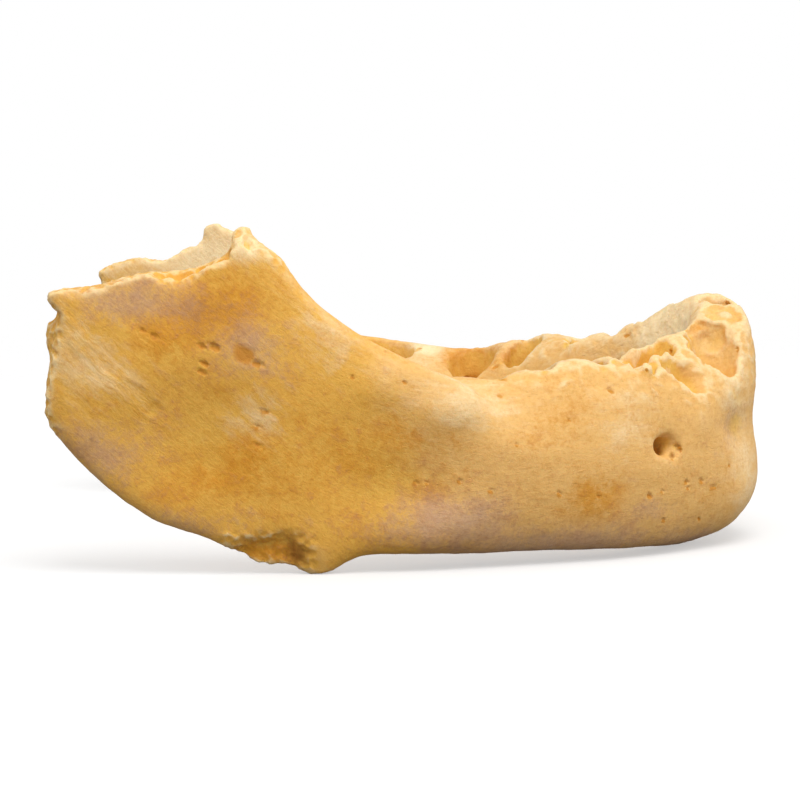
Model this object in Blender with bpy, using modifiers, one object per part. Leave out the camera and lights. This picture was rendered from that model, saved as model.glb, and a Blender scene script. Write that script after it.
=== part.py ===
"""A juvenile human mandible: one dry bone, its teeth lost and the tops of both rami broken away.

Blender 4.5, metres, +Z up. The chin points along +X and the bone's right side faces -Y.
The bone stands on its own base, and the origin is under the middle of its box.
The tables below are in millimetres; MM turns them into metres.
"""

import math
from collections import namedtuple

import bmesh
import bpy
import numpy as np
from mathutils import Matrix, Vector

MM = 0.001

# The tables measure from a point behind the middle of the box and a little above the table top.
CHART_TO_ORIGIN = Vector((-1.66, 0.0, 0.3))

# Fineness of the solid
RING_POINTS = 44
BODY_RINGS = 96
RAMUS_RINGS = 64
BLEND_VOXEL = 0.6
BLEND_SMOOTHING = 3
RIDGE_SMOOTHING = 40
FINAL_VOXEL = 0.45
FINAL_SMOOTHING = 2
TRIANGLES = 9400

# A cross-section. x, y is its middle; base_out and base_in are the heights of the lower border
# outside and inside the arch, and crest_out and crest_in those of the tooth-bearing edge;
# low, mid and top are widths at the base, half way and at the crest;
# the last three shift those widths outwards.
Section = namedtuple(
    "Section", "x y base_out base_in crest_out crest_in low mid top low_out mid_out top_out"
)

# The body of the right half from the symphysis back. Its outer socket walls are broken low.
BODY_RIGHT = [
    Section(34.0, 0.0, 3.7, 0.3, 24.4, 25.3, 9.8, 8.5, 8.8, 0.5, 0.1, 0.5),
    Section(33.7, 2.8, 3.0, -0.8, 23.2, 24.8, 9.8, 8.7, 8.6, 0.4, 0.1, 0.5),
    Section(32.5, 5.8, 2.4, -1.7, 18.9, 24.5, 9.6, 8.9, 8.2, 0.1, 0.0, 0.3),
    Section(29.4, 10.0, 1.7, -1.6, 17.3, 24.1, 9.4, 9.4, 8.2, 0.0, 0.0, 0.0),
    Section(25.2, 13.7, 1.0, -0.4, 19.4, 22.0, 9.2, 9.8, 8.2, 0.3, 0.0, -0.2),
    Section(20.4, 16.6, 0.6, 0.4, 21.0, 19.6, 9.0, 10.4, 8.4, 0.6, 0.2, -0.6),
    Section(16.4, 18.5, 0.7, 0.5, 21.5, 18.6, 8.8, 10.9, 8.6, 0.7, 0.2, -0.9),
    Section(11.6, 20.4, 0.8, 0.6, 20.2, 17.8, 8.4, 11.2, 8.8, 0.9, 0.2, -1.1),
    Section(7.0, 22.0, 0.9, 0.7, 20.0, 17.2, 8.2, 11.4, 9.0, 1.2, 0.2, -1.3),
    Section(1.0, 24.0, 1.1, 1.0, 19.8, 17.6, 7.4, 10.4, 8.4, 1.5, 0.3, -1.4),
    Section(-6.0, 26.4, 1.6, 1.6, 19.0, 18.8, 5.6, 7.0, 6.0, 1.4, 0.2, -0.6),
    Section(-14.0, 29.4, 5.0, 5.0, 18.0, 18.0, 3.2, 3.4, 3.0, 0.0, 0.0, 0.0),
]

# Crest heights of the left half. Its inner wall is lost behind the first milk molar.
LEFT_CREST_OUT = [24.4, 25.4, 26.1, 23.6, 20.9, 19.6, 21.5, 20.8, 19.9, 19.7, 19.8, 18.0]
LEFT_CREST_IN = [25.2, 25.4, 25.2, 23.6, 21.6, 20.4, 17.8, 14.8, 14.2, 16.4, 18.4, 18.0]

# The ramus plate, from the oblique line back; its upper and lower edges follow the outlines below
RAMUS = [
    Section(12.0, 24.9, 0.0, 0.0, 0.0, 0.0, 1.2, 1.6, 1.2, 0.0, 0.0, 0.0),
    Section(5.0, 26.1, 0.0, 0.0, 0.0, 0.0, 3.4, 4.2, 3.0, -0.6, 0.0, -0.9),
    Section(-1.0, 27.0, 0.0, 0.0, 0.0, 0.0, 4.6, 5.6, 4.4, -0.2, 0.0, -0.9),
    Section(-7.0, 28.2, 0.0, 0.0, 0.0, 0.0, 4.4, 5.6, 5.0, 0.4, 0.0, -0.4),
    Section(-14.0, 29.7, 0.0, 0.0, 0.0, 0.0, 3.8, 4.6, 4.2, 0.8, 0.0, -0.2),
    Section(-22.0, 30.9, 0.0, 0.0, 0.0, 0.0, 3.6, 4.0, 3.6, 0.9, 0.0, 0.2),
    Section(-30.0, 31.6, 0.0, 0.0, 0.0, 0.0, 3.8, 4.2, 3.8, 0.6, 0.0, 0.4),
    Section(-42.0, 32.2, 0.0, 0.0, 0.0, 0.0, 4.0, 4.4, 4.0, 0.0, 0.0, 0.4),
]

# Lower edge of the ramus seen from the side, x and z, from the body back to the broken end
RAMUS_LOWER = [
    (12.0, 8.0),
    (8.0, 4.0),
    (4.0, 1.5),
    (0.0, 1.3),
    (-2.0, 1.2),
    (-4.0, 0.9),
    (-5.6, 0.2),
    (-6.9, -0.6),
    (-7.8, -2.0),
    (-8.5, -1.8),
    (-9.6, -0.2),
    (-10.4, 0.5),
    (-13.7, 0.4),
    (-16.1, 1.7),
    (-20.5, 3.7),
    (-24.5, 5.0),
    (-28.4, 7.7),
    (-32.1, 11.3),
    (-35.0, 14.9),
    (-42.0, 23.0),
]

# Front edge of the ramus seen from the side, up to the root of the coronoid process
RIGHT_FRONT_EDGE = [
    (12.0, 13.0),
    (9.0, 16.0),
    (6.5, 18.4),
    (4.0, 19.8),
    (1.5, 20.7),
    (-0.5, 21.7),
    (-3.4, 23.2),
    (-5.4, 24.6),
    (-6.9, 25.7),
    (-8.4, 26.9),
    (-9.9, 28.5),
    (-11.4, 30.9),
    (-13.2, 34.0),
    (-17.0, 40.0),
    (-42.0, 42.0),
]

LEFT_FRONT_EDGE = [
    (12.0, 13.0),
    (9.0, 15.6),
    (6.5, 17.2),
    (3.5, 18.0),
    (0.0, 18.3),
    (-2.9, 18.6),
    (-5.8, 19.5),
    (-8.2, 20.6),
    (-9.9, 22.2),
    (-11.7, 24.0),
    (-13.0, 26.2),
    (-14.4, 30.0),
    (-17.0, 36.0),
    (-42.0, 42.0),
]

# What the breaks left of each ramus, from the front edge over the top and down the rear:
# x and z of the edge on the outer face, then x and z of the edge on the inner face
RIGHT_BREAK = [
    (-5.0, 40.0, -5.0, 40.0),
    (-9.9, 31.2, -9.9, 31.2),
    (-11.8, 31.3, -11.9, 31.6),
    (-13.6, 31.9, -13.6, 32.5),
    (-14.5, 32.0, -14.2, 33.2),
    (-15.1, 32.0, -14.8, 34.2),
    (-15.7, 31.9, -15.5, 34.6),
    (-16.2, 31.6, -16.3, 34.2),
    (-17.0, 31.1, -17.0, 31.6),
    (-18.6, 30.4, -19.2, 30.7),
    (-19.9, 29.6, -20.5, 30.4),
    (-21.7, 28.7, -22.3, 30.1),
    (-22.8, 29.0, -23.4, 30.0),
    (-24.5, 30.0, -24.8, 30.0),
    (-26.2, 29.8, -26.4, 29.7),
    (-29.3, 28.7, -29.6, 28.6),
    (-34.0, 28.3, -34.4, 28.2),
    (-34.7, 27.5, -35.1, 27.4),
    (-33.0, 26.0, -33.6, 25.8),
    (-33.4, 24.6, -35.5, 24.8),
    (-33.4, 23.1, -35.5, 23.0),
    (-34.1, 21.4, -34.4, 21.0),
    (-34.5, 18.4, -35.2, 18.0),
    (-34.8, 16.2, -35.3, 15.8),
    (-34.3, 14.8, -34.7, 14.6),
    (-36.5, 8.0, -36.5, 8.0),
]

LEFT_BREAK = [
    (-5.0, 40.0, -5.0, 40.0),
    (-10.6, 30.4, -10.6, 30.0),
    (-13.2, 27.0, -13.2, 26.6),
    (-15.0, 27.9, -15.0, 27.6),
    (-16.2, 28.8, -16.2, 28.6),
    (-17.6, 30.4, -17.6, 31.3),
    (-19.4, 30.2, -19.4, 31.2),
    (-21.4, 31.2, -21.4, 32.4),
    (-22.9, 30.8, -22.9, 32.1),
    (-23.1, 29.0, -23.0, 29.9),
    (-25.2, 28.6, -25.2, 29.3),
    (-27.4, 27.3, -27.4, 27.7),
    (-30.4, 28.0, -30.4, 28.3),
    (-33.4, 27.3, -33.4, 27.6),
    (-35.2, 26.4, -35.4, 26.5),
    (-34.0, 24.6, -34.7, 24.6),
    (-34.6, 22.4, -35.7, 22.4),
    (-34.0, 19.0, -34.8, 19.0),
    (-34.6, 16.4, -35.4, 16.4),
    (-34.0, 14.6, -34.4, 14.6),
    (-36.5, 8.0, -36.5, 8.0),
]

# The outer wall lost from the right angle: the edge that is left, x and z seen from the side
ANGLE_LOSS = [
    (-17.6, -4.0),
    (-17.4, 1.6),
    (-16.2, 2.9),
    (-14.6, 3.4),
    (-12.8, 3.3),
    (-11.6, 3.9),
    (-10.9, 3.4),
    (-10.1, 3.1),
    (-9.6, 2.3),
    (-9.2, 1.4),
    (-8.3, 0.9),
    (-7.6, -4.0),
]
ANGLE_LOSS_FROM = -36.0
ANGLE_LOSS_TO = -29.0

# How far across the ramus the outer and inner break edges stand, as y
BREAK_OUTER_Y = 33.6
BREAK_INNER_Y = 29.4
BREAK_REACH = 1.4  # the cut runs on past both faces, as a share of the thickness

# Where the oblique line is blended: its middle and reach along x, and the height that it fades below
RIDGE_MIDDLE = 5.0
RIDGE_REACH = 18.0
RIDGE_TOP = 18.0
RIDGE_FADE = 4.0

# Sockets of the milk teeth and the crypts behind them: where the middle of the mouth stands,
# how deep it runs, its half sizes along and across the arch, how far its foot leans outwards,
# and how many degrees it is turned from the line of the arch
Socket = namedtuple("Socket", "name x y z depth along across lean turn", defaults=(0.0,))

SOCKETS = [
    Socket("right_central_incisor", 34.6, -1.9, 23.6, 5.6, 2.2, 1.9, 0.0),
    Socket("right_lateral_incisor", 33.4, -6.7, 20.9, 5.0, 2.6, 2.9, 0.1),
    Socket("right_canine", 26.9, -10.7, 21.2, 5.4, 2.5, 1.5, 0.1),
    Socket("right_adult_canine_crypt", 29.5, -12.6, 18.4, 2.6, 3.0, 1.4, 0.0, -34.0),
    Socket("right_first_molar_front", 24.1, -14.3, 19.6, 4.4, 2.3, 3.0, 0.0, -18.0),
    Socket("right_first_molar_rear", 19.6, -16.4, 19.8, 4.4, 1.3, 2.5, 0.0),
    Socket("right_second_molar_front", 13.9, -18.4, 19.4, 5.8, 1.9, 2.8, 0.0),
    Socket("right_second_molar_rear", 8.8, -20.1, 18.8, 6.2, 2.3, 2.8, 0.0),
    Socket("right_adult_molar_crypt", 0.4, -22.6, 18.6, 6.4, 3.6, 2.5, 0.0),
    Socket("left_central_incisor", 34.5, 2.6, 25.0, 7.4, 1.9, 2.2, 0.0),
    Socket("left_lateral_incisor", 32.5, 7.5, 24.2, 7.6, 2.1, 2.4, 0.0),
    Socket("left_canine", 28.7, 11.4, 22.4, 7.4, 2.3, 2.6, 0.0),
    Socket("left_first_molar_front", 24.7, 13.9, 21.0, 5.4, 1.7, 2.5, 0.0),
    Socket("left_first_molar_rear", 20.6, 15.8, 20.0, 4.4, 1.4, 2.4, 0.0),
    Socket("left_second_molar_front", 13.9, 18.6, 17.6, 4.6, 2.0, 2.6, 0.0),
    Socket("left_second_molar_rear", 8.2, 20.5, 16.4, 4.8, 2.7, 2.7, 0.0),
    Socket("left_adult_molar_crypt", -1.4, 23.6, 18.0, 5.8, 3.2, 2.4, 0.0),
]
MOUTH_FLARE = 0.12
MOUTH_HEIGHT = 7.0
ROOT_BLUNTNESS = 0.72

# Openings of the canals: the middle, the half sizes along, across and into the bone,
# and the heading and pitch of the way in, in degrees
Pit = namedtuple("Pit", "name x y z long wide deep heading pitch")

PITS = [
    Pit("mental_foramen_right", 27.2, -17.6, 11.3, 1.8, 1.1, 1.9, -58.0, 0.0),
    Pit("mental_foramen_left", 27.0, 17.5, 10.9, 1.7, 1.25, 1.9, 58.0, 0.0),
    Pit("mandibular_foramen_right", -19.6, -28.6, 17.4, 2.3, 1.4, 1.6, 96.0, 20.0),
    Pit("mandibular_foramen_left", -19.9, 28.6, 17.2, 2.3, 1.4, 1.6, -96.0, 20.0),
]

# Gentle relief: name, centre, radius along x, y, z, and how far the surface moves out
Relief = namedtuple("Relief", "name x y z rx ry rz out")

RELIEF = [
    Relief("chin", 38.4, 0.0, 5.0, 4.0, 7.0, 3.4, 0.45),
    Relief("hollow_above_chin", 38.0, 0.0, 12.4, 4.0, 4.5, 2.6, -0.5),
    Relief("lingual_spines", 28.6, 0.0, 7.0, 2.6, 1.3, 1.6, 0.8),
    Relief("lingual_hollow", 28.0, 0.0, 15.0, 4.0, 5.0, 4.0, -0.4),
]
SIDE_RELIEF = [
    Relief("mental_tubercle", 35.6, 9.0, 3.2, 3.4, 3.4, 2.6, 0.5),
    Relief("hollow_beside_chin", 36.2, 8.6, 12.6, 3.0, 3.4, 3.4, -0.55),
    Relief("canine_swelling", 32.2, 14.6, 16.0, 2.4, 2.6, 4.6, 0.5),
    Relief("foramen_hollow", 28.0, 17.6, 12.2, 2.6, 3.0, 1.8, -0.25),
    Relief("oblique_line_upper", -1.0, 29.4, 18.6, 4.0, 3.4, 2.2, 0.7),
    Relief("oblique_line_middle", 5.0, 28.2, 15.4, 4.0, 3.4, 2.4, 0.8),
    Relief("oblique_line_lower", 11.0, 26.6, 12.4, 4.4, 3.4, 2.6, 0.5),
    Relief("hollow_under_line", -2.0, 30.6, 8.4, 7.0, 4.0, 4.0, -0.6),
    Relief("masseter_hollow", -20.0, 33.4, 13.6, 8.0, 4.0, 6.0, -0.7),
    Relief("masseter_ridge", -14.0, 32.6, 22.0, 6.0, 4.0, 5.0, 0.3),
    Relief("mylohyoid_line_rear", 2.0, 18.6, 13.0, 6.0, 3.4, 1.8, 0.6),
    Relief("mylohyoid_line_front", 14.0, 14.0, 10.4, 6.0, 3.4, 1.8, 0.5),
    Relief("gland_hollow", 6.0, 18.0, 7.0, 8.0, 4.0, 3.2, -0.9),
    Relief("muscle_hollow", 30.4, 3.6, 1.4, 2.6, 2.8, 1.8, -0.5),
]

# The table that the bone stands on, where the points that touch it are worn flat
TABLE_WIDTH = 120.0
TABLE_DEPTH = 20.0

BONE_COLOUR = (0.78, 0.55, 0.26, 1.0)
BONE_ROUGHNESS = 0.62


def clear_scene():
    for item in list(bpy.data.objects):
        bpy.data.objects.remove(item)


def new_collection(name, hidden=False):
    collection = bpy.data.collections.new(name)
    bpy.context.scene.collection.children.link(collection)
    collection.hide_render = hidden
    return collection


def smooth_curve(knots, values, where):
    """Values at `where` on a smooth curve through the knots, which need not be evenly spaced."""
    knots = np.asarray(knots, float)
    values = np.asarray(values, float)
    steps = np.diff(knots)
    slopes = np.diff(values, axis=0) / (steps if values.ndim == 1 else steps[:, None])
    tangents = np.zeros_like(values)
    tangents[0], tangents[-1] = slopes[0], slopes[-1]
    for i in range(1, len(knots) - 1):
        before, after = steps[i - 1], steps[i]
        tangents[i] = (slopes[i - 1] * after + slopes[i] * before) / (before + after)
    i = int(np.clip(np.searchsorted(knots, where) - 1, 0, len(steps) - 1))
    t = (where - knots[i]) / steps[i]
    return (
        (2 * t**3 - 3 * t**2 + 1) * values[i]
        + (t**3 - 2 * t**2 + t) * steps[i] * tangents[i]
        + (3 * t**2 - 2 * t**3) * values[i + 1]
        + (t**3 - t**2) * steps[i] * tangents[i + 1]
    )


def outline_height(outline, x):
    """Height of an outline at x, by straight runs between its points."""
    ordered = sorted(outline)
    return float(np.interp(x, [p[0] for p in ordered], [p[1] for p in ordered]))


def mirrored(section):
    return section._replace(y=-section.y)


def body_sections():
    """All sections from the right end round the symphysis to the left end, the right side at -Y."""
    right = [mirrored(s) for s in BODY_RIGHT]
    left = [
        s._replace(crest_out=outside, crest_in=inside)
        for s, outside, inside in zip(BODY_RIGHT, LEFT_CREST_OUT, LEFT_CREST_IN)
    ]
    return right[::-1] + left[1:]


def travelled(sections):
    """Distance along the path at each section."""
    points = [Vector((s.x, s.y)) for s in sections]
    steps = [(b - a).length for a, b in zip(points, points[1:])]
    return np.concatenate([[0.0], np.cumsum(steps)])


class Loft:
    """A closed form whose cross-section changes along a path on the ground."""

    def __init__(self, sections, roundness, lower=None, upper=None):
        self.knots = travelled(sections)
        self.values = np.array(sections, float)
        self.length = self.knots[-1]
        self.roundness = roundness
        self.lower, self.upper = lower, upper

    def section(self, along):
        found = Section(*smooth_curve(self.knots, self.values, along))
        if self.lower:
            foot = outline_height(self.lower, found.x)
            top = outline_height(self.upper, found.x)
            found = found._replace(base_out=foot, base_in=foot, crest_out=top, crest_in=top)
        return found

    def outward(self, along):
        """Unit normal of the path, away from the inside of the arch."""
        step = 0.4
        ahead = self.section(min(along + step, self.length))
        behind = self.section(max(along - step, 0.0))
        way = Vector((ahead.x - behind.x, ahead.y - behind.y, 0.0)).normalized()
        return Vector((way.y, -way.x, 0.0))

    def point(self, along, angle, section, outward):
        """A point of the ring: angle 0 is the base, and half a turn is the crest."""
        up = (1.0 - math.cos(angle)) / 2.0
        side = math.copysign(1.0, math.sin(angle))
        low_round, top_round = self.roundness
        power = low_round + (top_round - low_round) * up
        spread = side * abs(math.sin(angle)) ** power
        if up < 0.5:
            share = up * 2.0
            width = section.low + (section.mid - section.low) * math.sin(share * math.pi / 2)
            shift = section.low_out + (section.mid_out - section.low_out) * share
        else:
            share = up * 2.0 - 1.0
            width = section.top + (section.mid - section.top) * math.cos(share * math.pi / 2)
            shift = section.mid_out + (section.top_out - section.mid_out) * share
        outer_share = (1.0 + spread) / 2.0
        base = section.base_in + (section.base_out - section.base_in) * outer_share
        crest = section.crest_in + (section.crest_out - section.crest_in) * outer_share
        out = shift + spread * width / 2.0
        return Vector((section.x, section.y, base + (crest - base) * up)) + outward * out

    def mesh(self, name, rings):
        """A cylinder with many rings, each point of it moved to its place on the section."""
        form = bmesh.new()
        bmesh.ops.create_cone(
            form, cap_ends=True, segments=RING_POINTS, radius1=1.0, radius2=1.0, depth=1.0
        )
        upright = [e for e in form.edges if abs(e.verts[0].co.z - e.verts[1].co.z) > 0.5]
        bmesh.ops.subdivide_edges(form, edges=upright, cuts=rings, use_grid_fill=False)
        for vert in form.verts:
            along = (vert.co.z + 0.5) * self.length
            section = self.section(along)
            angle = math.atan2(vert.co.y, vert.co.x)
            place = self.point(along, angle, section, self.outward(along))
            vert.co = (place + CHART_TO_ORIGIN) * MM
        bmesh.ops.recalc_face_normals(form, faces=form.faces)
        made = bpy.data.meshes.new(name)
        form.to_mesh(made)
        form.free()
        return made


def add_object(name, mesh, collection):
    made = bpy.data.objects.new(name, mesh)
    collection.objects.link(made)
    return made


def bone_blank(cutters):
    """The whole bone before it lost its teeth or broke: the body and two ramus plates in one skin."""
    body = Loft(body_sections(), (0.55, 0.45))
    skin = bmesh.new()
    skin.from_mesh(body.mesh("body", BODY_RINGS))
    right = Loft([mirrored(s) for s in RAMUS], (0.42, 0.42), RAMUS_LOWER, RIGHT_FRONT_EDGE)
    left = Loft(RAMUS, (0.42, 0.42), RAMUS_LOWER, LEFT_FRONT_EDGE)
    skin.from_mesh(right.mesh("right_plate", RAMUS_RINGS))
    skin.from_mesh(left.mesh("left_plate", RAMUS_RINGS))
    mesh = bpy.data.meshes.new("blank")
    skin.to_mesh(mesh)
    skin.free()
    blank = add_object("blank", mesh, cutters)
    remesh(blank, BLEND_VOXEL)
    smooth(blank, BLEND_SMOOTHING)
    applied(blank)
    mark_ridge(blank)
    smooth(blank, RIDGE_SMOOTHING, "oblique line")
    return applied(blank)


def mark_ridge(item):
    """Weights for the skin where the ramus runs out on the side of the body."""
    group = item.vertex_groups.new(name="oblique line")
    for vert in item.data.vertices:
        place = vert.co / MM - CHART_TO_ORIGIN
        along = 1.0 - abs(place.x - RIDGE_MIDDLE) / RIDGE_REACH
        below = (RIDGE_TOP - place.z) / RIDGE_FADE
        weight = min(max(along * 2.0, 0.0), 1.0) * min(max(below, 0.0), 1.0)
        if weight > 0.0:
            group.add([vert.index], weight, "REPLACE")


def remesh(item, voxel):
    modifier = item.modifiers.new("Even skin", "REMESH")
    modifier.mode = "VOXEL"
    modifier.voxel_size = voxel * MM


def smooth(item, rounds, group=""):
    modifier = item.modifiers.new("Soften", "SMOOTH")
    modifier.factor = 0.5
    modifier.iterations = rounds
    modifier.vertex_group = group


def applied(item):
    """The object with its modifiers made into mesh."""
    bpy.context.view_layer.update()
    graph = bpy.context.evaluated_depsgraph_get()
    mesh = bpy.data.meshes.new_from_object(item.evaluated_get(graph))
    item.modifiers.clear()
    item.data = mesh
    return item


def relief_at(point):
    """How far the surface moves out at a point, in millimetres."""
    moved = 0.0
    for r in RELIEF + SIDE_RELIEF:
        sides = (1.0,) if r.y == 0.0 else (1.0, -1.0)
        for side in sides:
            away = (
                ((point.x - r.x) / r.rx) ** 2
                + ((point.y - side * r.y) / r.ry) ** 2
                + ((point.z - r.z) / r.rz) ** 2
            )
            if away < 6.0:
                moved += r.out * math.exp(-away)
    return moved


def add_relief(item):
    """Muscle marks, swellings and hollows, as small moves of the skin along its normals."""
    form = bmesh.new()
    form.from_mesh(item.data)
    form.normal_update()
    moves = []
    for vert in form.verts:
        place = vert.co / MM - CHART_TO_ORIGIN
        moves.append(vert.normal * relief_at(place) * MM)
    for vert, move in zip(form.verts, moves):
        vert.co += move
    form.to_mesh(item.data)
    form.free()


def arch_heading(x, y):
    """Direction of the arch at a point, as an angle from +X."""
    path = Loft(body_sections(), (0.6, 0.5))
    places = np.linspace(0.0, path.length, 200)
    best = min(places, key=lambda s: (path.section(s).x - x) ** 2 + (path.section(s).y - y) ** 2)
    outward = path.outward(best)
    return math.atan2(outward.x, -outward.y)


def cutter_object(name, form, cutters):
    mesh = bpy.data.meshes.new(name)
    bmesh.ops.recalc_face_normals(form, faces=form.faces)
    if form.calc_volume(signed=True) < 0.0:
        bmesh.ops.reverse_faces(form, faces=form.faces)
    form.to_mesh(mesh)
    form.free()
    made = add_object(name, mesh, cutters)
    made.hide_render = True
    made.display_type = "WIRE"
    return made


def socket_cutter(socket, cutters):
    """A blunt root below and a slightly flared shaft above, standing in the crest."""
    form = bmesh.new()
    bmesh.ops.create_uvsphere(form, u_segments=24, v_segments=16, radius=1.0)
    heading = arch_heading(socket.x, socket.y) + math.radians(socket.turn)
    turn = Matrix.Rotation(heading, 3, "Z")
    foot = Vector((socket.x, socket.y, socket.z)) + CHART_TO_ORIGIN
    for vert in form.verts:
        ring = max(math.hypot(vert.co.x, vert.co.y), 1e-6)
        if vert.co.z < 0.0:
            fuller = ring**ROOT_BLUNTNESS / ring
            rise = vert.co.z * socket.depth
        else:
            fuller = (1.0 + MOUTH_FLARE * vert.co.z) / ring if ring > 0.01 else 1.0
            rise = vert.co.z * MOUTH_HEIGHT
        out = -vert.co.y * fuller * socket.across + rise * socket.lean
        place = Vector((vert.co.x * fuller * socket.along, -out, rise))
        vert.co = (turn @ place + foot) * MM
    return cutter_object(socket.name, form, cutters)


def pit_cutter(pit, cutters):
    form = bmesh.new()
    bmesh.ops.create_uvsphere(form, u_segments=20, v_segments=12, radius=1.0)
    aim = Matrix.Rotation(math.radians(pit.heading), 3, "Z")
    aim = aim @ Matrix.Rotation(math.radians(pit.pitch), 3, "Y")
    foot = Vector((pit.x, pit.y, pit.z)) + CHART_TO_ORIGIN
    for vert in form.verts:
        sized = Vector((vert.co.x * pit.deep, vert.co.y * pit.long, vert.co.z * pit.wide))
        vert.co = (aim @ sized + foot) * MM
    return cutter_object(pit.name, form, cutters)


def ramus_break_cutter(name, edge, side, cutters):
    """Everything above and behind the broken edge of one ramus: a loft between its two outlines."""
    far = 60.0
    outer = [(a, b) for a, b, _, _ in edge] + [(-far, edge[-1][1]), (-far, far), (edge[0][0], far)]
    inner = [(c, d) for _, _, c, d in edge] + outer[len(edge) :]
    depth = BREAK_OUTER_Y - BREAK_INNER_Y
    form = bmesh.new()
    rings = []
    for share in (-BREAK_REACH, 0.0, 1.0, 1.0 + BREAK_REACH):
        y = side * (BREAK_OUTER_Y - share * depth)
        mix = min(max(share, 0.0), 1.0)
        ring = [
            form.verts.new((a + (c - a) * mix, y, b + (d - b) * mix))
            for (a, b), (c, d) in zip(outer, inner)
        ]
        rings.append(ring)
    for first, second in zip(rings, rings[1:]):
        for i in range(len(first)):
            j = (i + 1) % len(first)
            form.faces.new((first[i], first[j], second[j], second[i]))
    form.faces.new(rings[0])
    form.faces.new(rings[-1])
    for vert in form.verts:
        vert.co = (vert.co + CHART_TO_ORIGIN) * MM
    return cutter_object(name, form, cutters)


def angle_loss_cutter(cutters):
    """The piece of outer wall that is missing at the right angle."""
    form = bmesh.new()
    corners = [form.verts.new((x, ANGLE_LOSS_FROM, z)) for x, z in ANGLE_LOSS]
    face = form.faces.new(corners)
    pushed = bmesh.ops.extrude_face_region(form, geom=[face])["geom"]
    moved = [g for g in pushed if isinstance(g, bmesh.types.BMVert)]
    bmesh.ops.translate(form, vec=(0.0, ANGLE_LOSS_TO - ANGLE_LOSS_FROM, 0.0), verts=moved)
    for vert in form.verts:
        vert.co = (vert.co + CHART_TO_ORIGIN) * MM
    return cutter_object("right_angle_loss", form, cutters)


def ground_cutter(cutters):
    """The table as a block with its top at height zero."""
    form = bmesh.new()
    bmesh.ops.create_cube(form, size=1.0)
    bmesh.ops.translate(form, vec=(0.0, 0.0, -0.5), verts=form.verts)
    size = Vector((TABLE_WIDTH, TABLE_WIDTH, TABLE_DEPTH)) * MM
    bmesh.ops.scale(form, vec=size, verts=form.verts)
    return cutter_object("table", form, cutters)


def cut(item, cutter):
    modifier = item.modifiers.new(cutter.name, "BOOLEAN")
    modifier.operation = "DIFFERENCE"
    modifier.solver = "EXACT"
    modifier.object = cutter


def bone_material():
    material = bpy.data.materials.new("dry_bone")
    material.use_nodes = True
    shader = material.node_tree.nodes["Principled BSDF"]
    shader.inputs["Base Color"].default_value = BONE_COLOUR
    shader.inputs["Roughness"].default_value = BONE_ROUGHNESS
    shader.inputs["Metallic"].default_value = 0.0
    return material


def build():
    clear_scene()
    parts = new_collection("juvenile_mandible")
    cutters = new_collection("cutters", hidden=True)
    bone = bone_blank(cutters)
    add_relief(bone)
    bone.name = "mandible"
    cutters.objects.unlink(bone)
    parts.objects.link(bone)
    for socket in SOCKETS:
        cut(bone, socket_cutter(socket, cutters))
    for pit in PITS:
        cut(bone, pit_cutter(pit, cutters))
    cut(bone, ramus_break_cutter("right_break", RIGHT_BREAK, -1.0, cutters))
    cut(bone, ramus_break_cutter("left_break", LEFT_BREAK, 1.0, cutters))
    cut(bone, angle_loss_cutter(cutters))
    remesh(bone, FINAL_VOXEL)
    smooth(bone, FINAL_SMOOTHING)
    applied(bone)
    fewer = bone.modifiers.new("Fewer faces", "DECIMATE")
    fewer.ratio = TRIANGLES / (2.0 * len(bone.data.polygons))
    cut(bone, ground_cutter(cutters))
    bone.data.shade_smooth()
    bone.data.materials.clear()
    bone.data.materials.append(bone_material())
    return bone


build()
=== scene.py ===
# %% [markdown]
# # The dry lower jaw of a small child
#
# The object is one bone: a juvenile mandible, about 74 mm from the chin to the broken rear edges.
# Its teeth are lost, its sockets stand open and the tops of both rami are broken away. The packed
# solid already has the true form and size, so this lesson keeps that form and gives it what a dry
# old bone has at close range: thin ragged walls between the sockets, spongy bone in the breaks,
# pits for blood vessels, a grain that runs along the arch, and the stains of the ground. Some light
# and shade is painted into its colour as well: painted shade in pits, holes and low places, painted
# warm bounce light in hollows and sockets, and painted highlight on the bulge of the body, the chin
# and the inner wall behind the front sockets.

# %% The imported bone
import math
import time
from collections import namedtuple

import bmesh
import bpy
import numpy as np
from mathutils import Matrix, Vector, noise


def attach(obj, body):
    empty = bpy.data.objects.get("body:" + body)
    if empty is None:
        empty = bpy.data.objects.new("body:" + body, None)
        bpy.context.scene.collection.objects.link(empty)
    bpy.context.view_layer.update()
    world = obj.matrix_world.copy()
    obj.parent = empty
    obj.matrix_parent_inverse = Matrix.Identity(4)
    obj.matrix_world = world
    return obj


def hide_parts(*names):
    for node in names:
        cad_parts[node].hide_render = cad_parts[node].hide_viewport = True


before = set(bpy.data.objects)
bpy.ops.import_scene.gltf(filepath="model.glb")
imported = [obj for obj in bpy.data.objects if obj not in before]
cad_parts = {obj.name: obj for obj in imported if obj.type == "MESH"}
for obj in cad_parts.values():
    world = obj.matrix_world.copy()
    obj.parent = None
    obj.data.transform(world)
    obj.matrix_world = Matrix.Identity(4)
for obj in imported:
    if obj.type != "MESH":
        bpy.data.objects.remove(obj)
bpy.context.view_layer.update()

START = time.time()
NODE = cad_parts["mandible"]


def clock():
    """How long the script has run, for the printed lines."""
    return f"at {time.time() - START:.1f} s"


# %% [markdown]
# ## Where things are
#
# Places on the bone are written in millimetres from one point behind the middle of the bone, the
# same point for every table below: x towards the chin, y towards the bone's left side, z up.
# Writing them as metres in the frame's own axes would work too, but the numbers would be hard to
# read against a ruler. One small function turns a place of the table into a place of the frame.

# %% Millimetres and the measuring point
MM = 0.001
MEASURING_POINT = Vector((-1.66, 0.0, 0.3))


def place(x, y, z):
    """A point of the tables, in the frame's metres."""
    return (Vector((x, y, z)) + MEASURING_POINT) * MM


def to_table(points):
    """Rows of points in the frame's metres, in the millimetres of the tables."""
    return points / MM - np.array(MEASURING_POINT)


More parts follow.
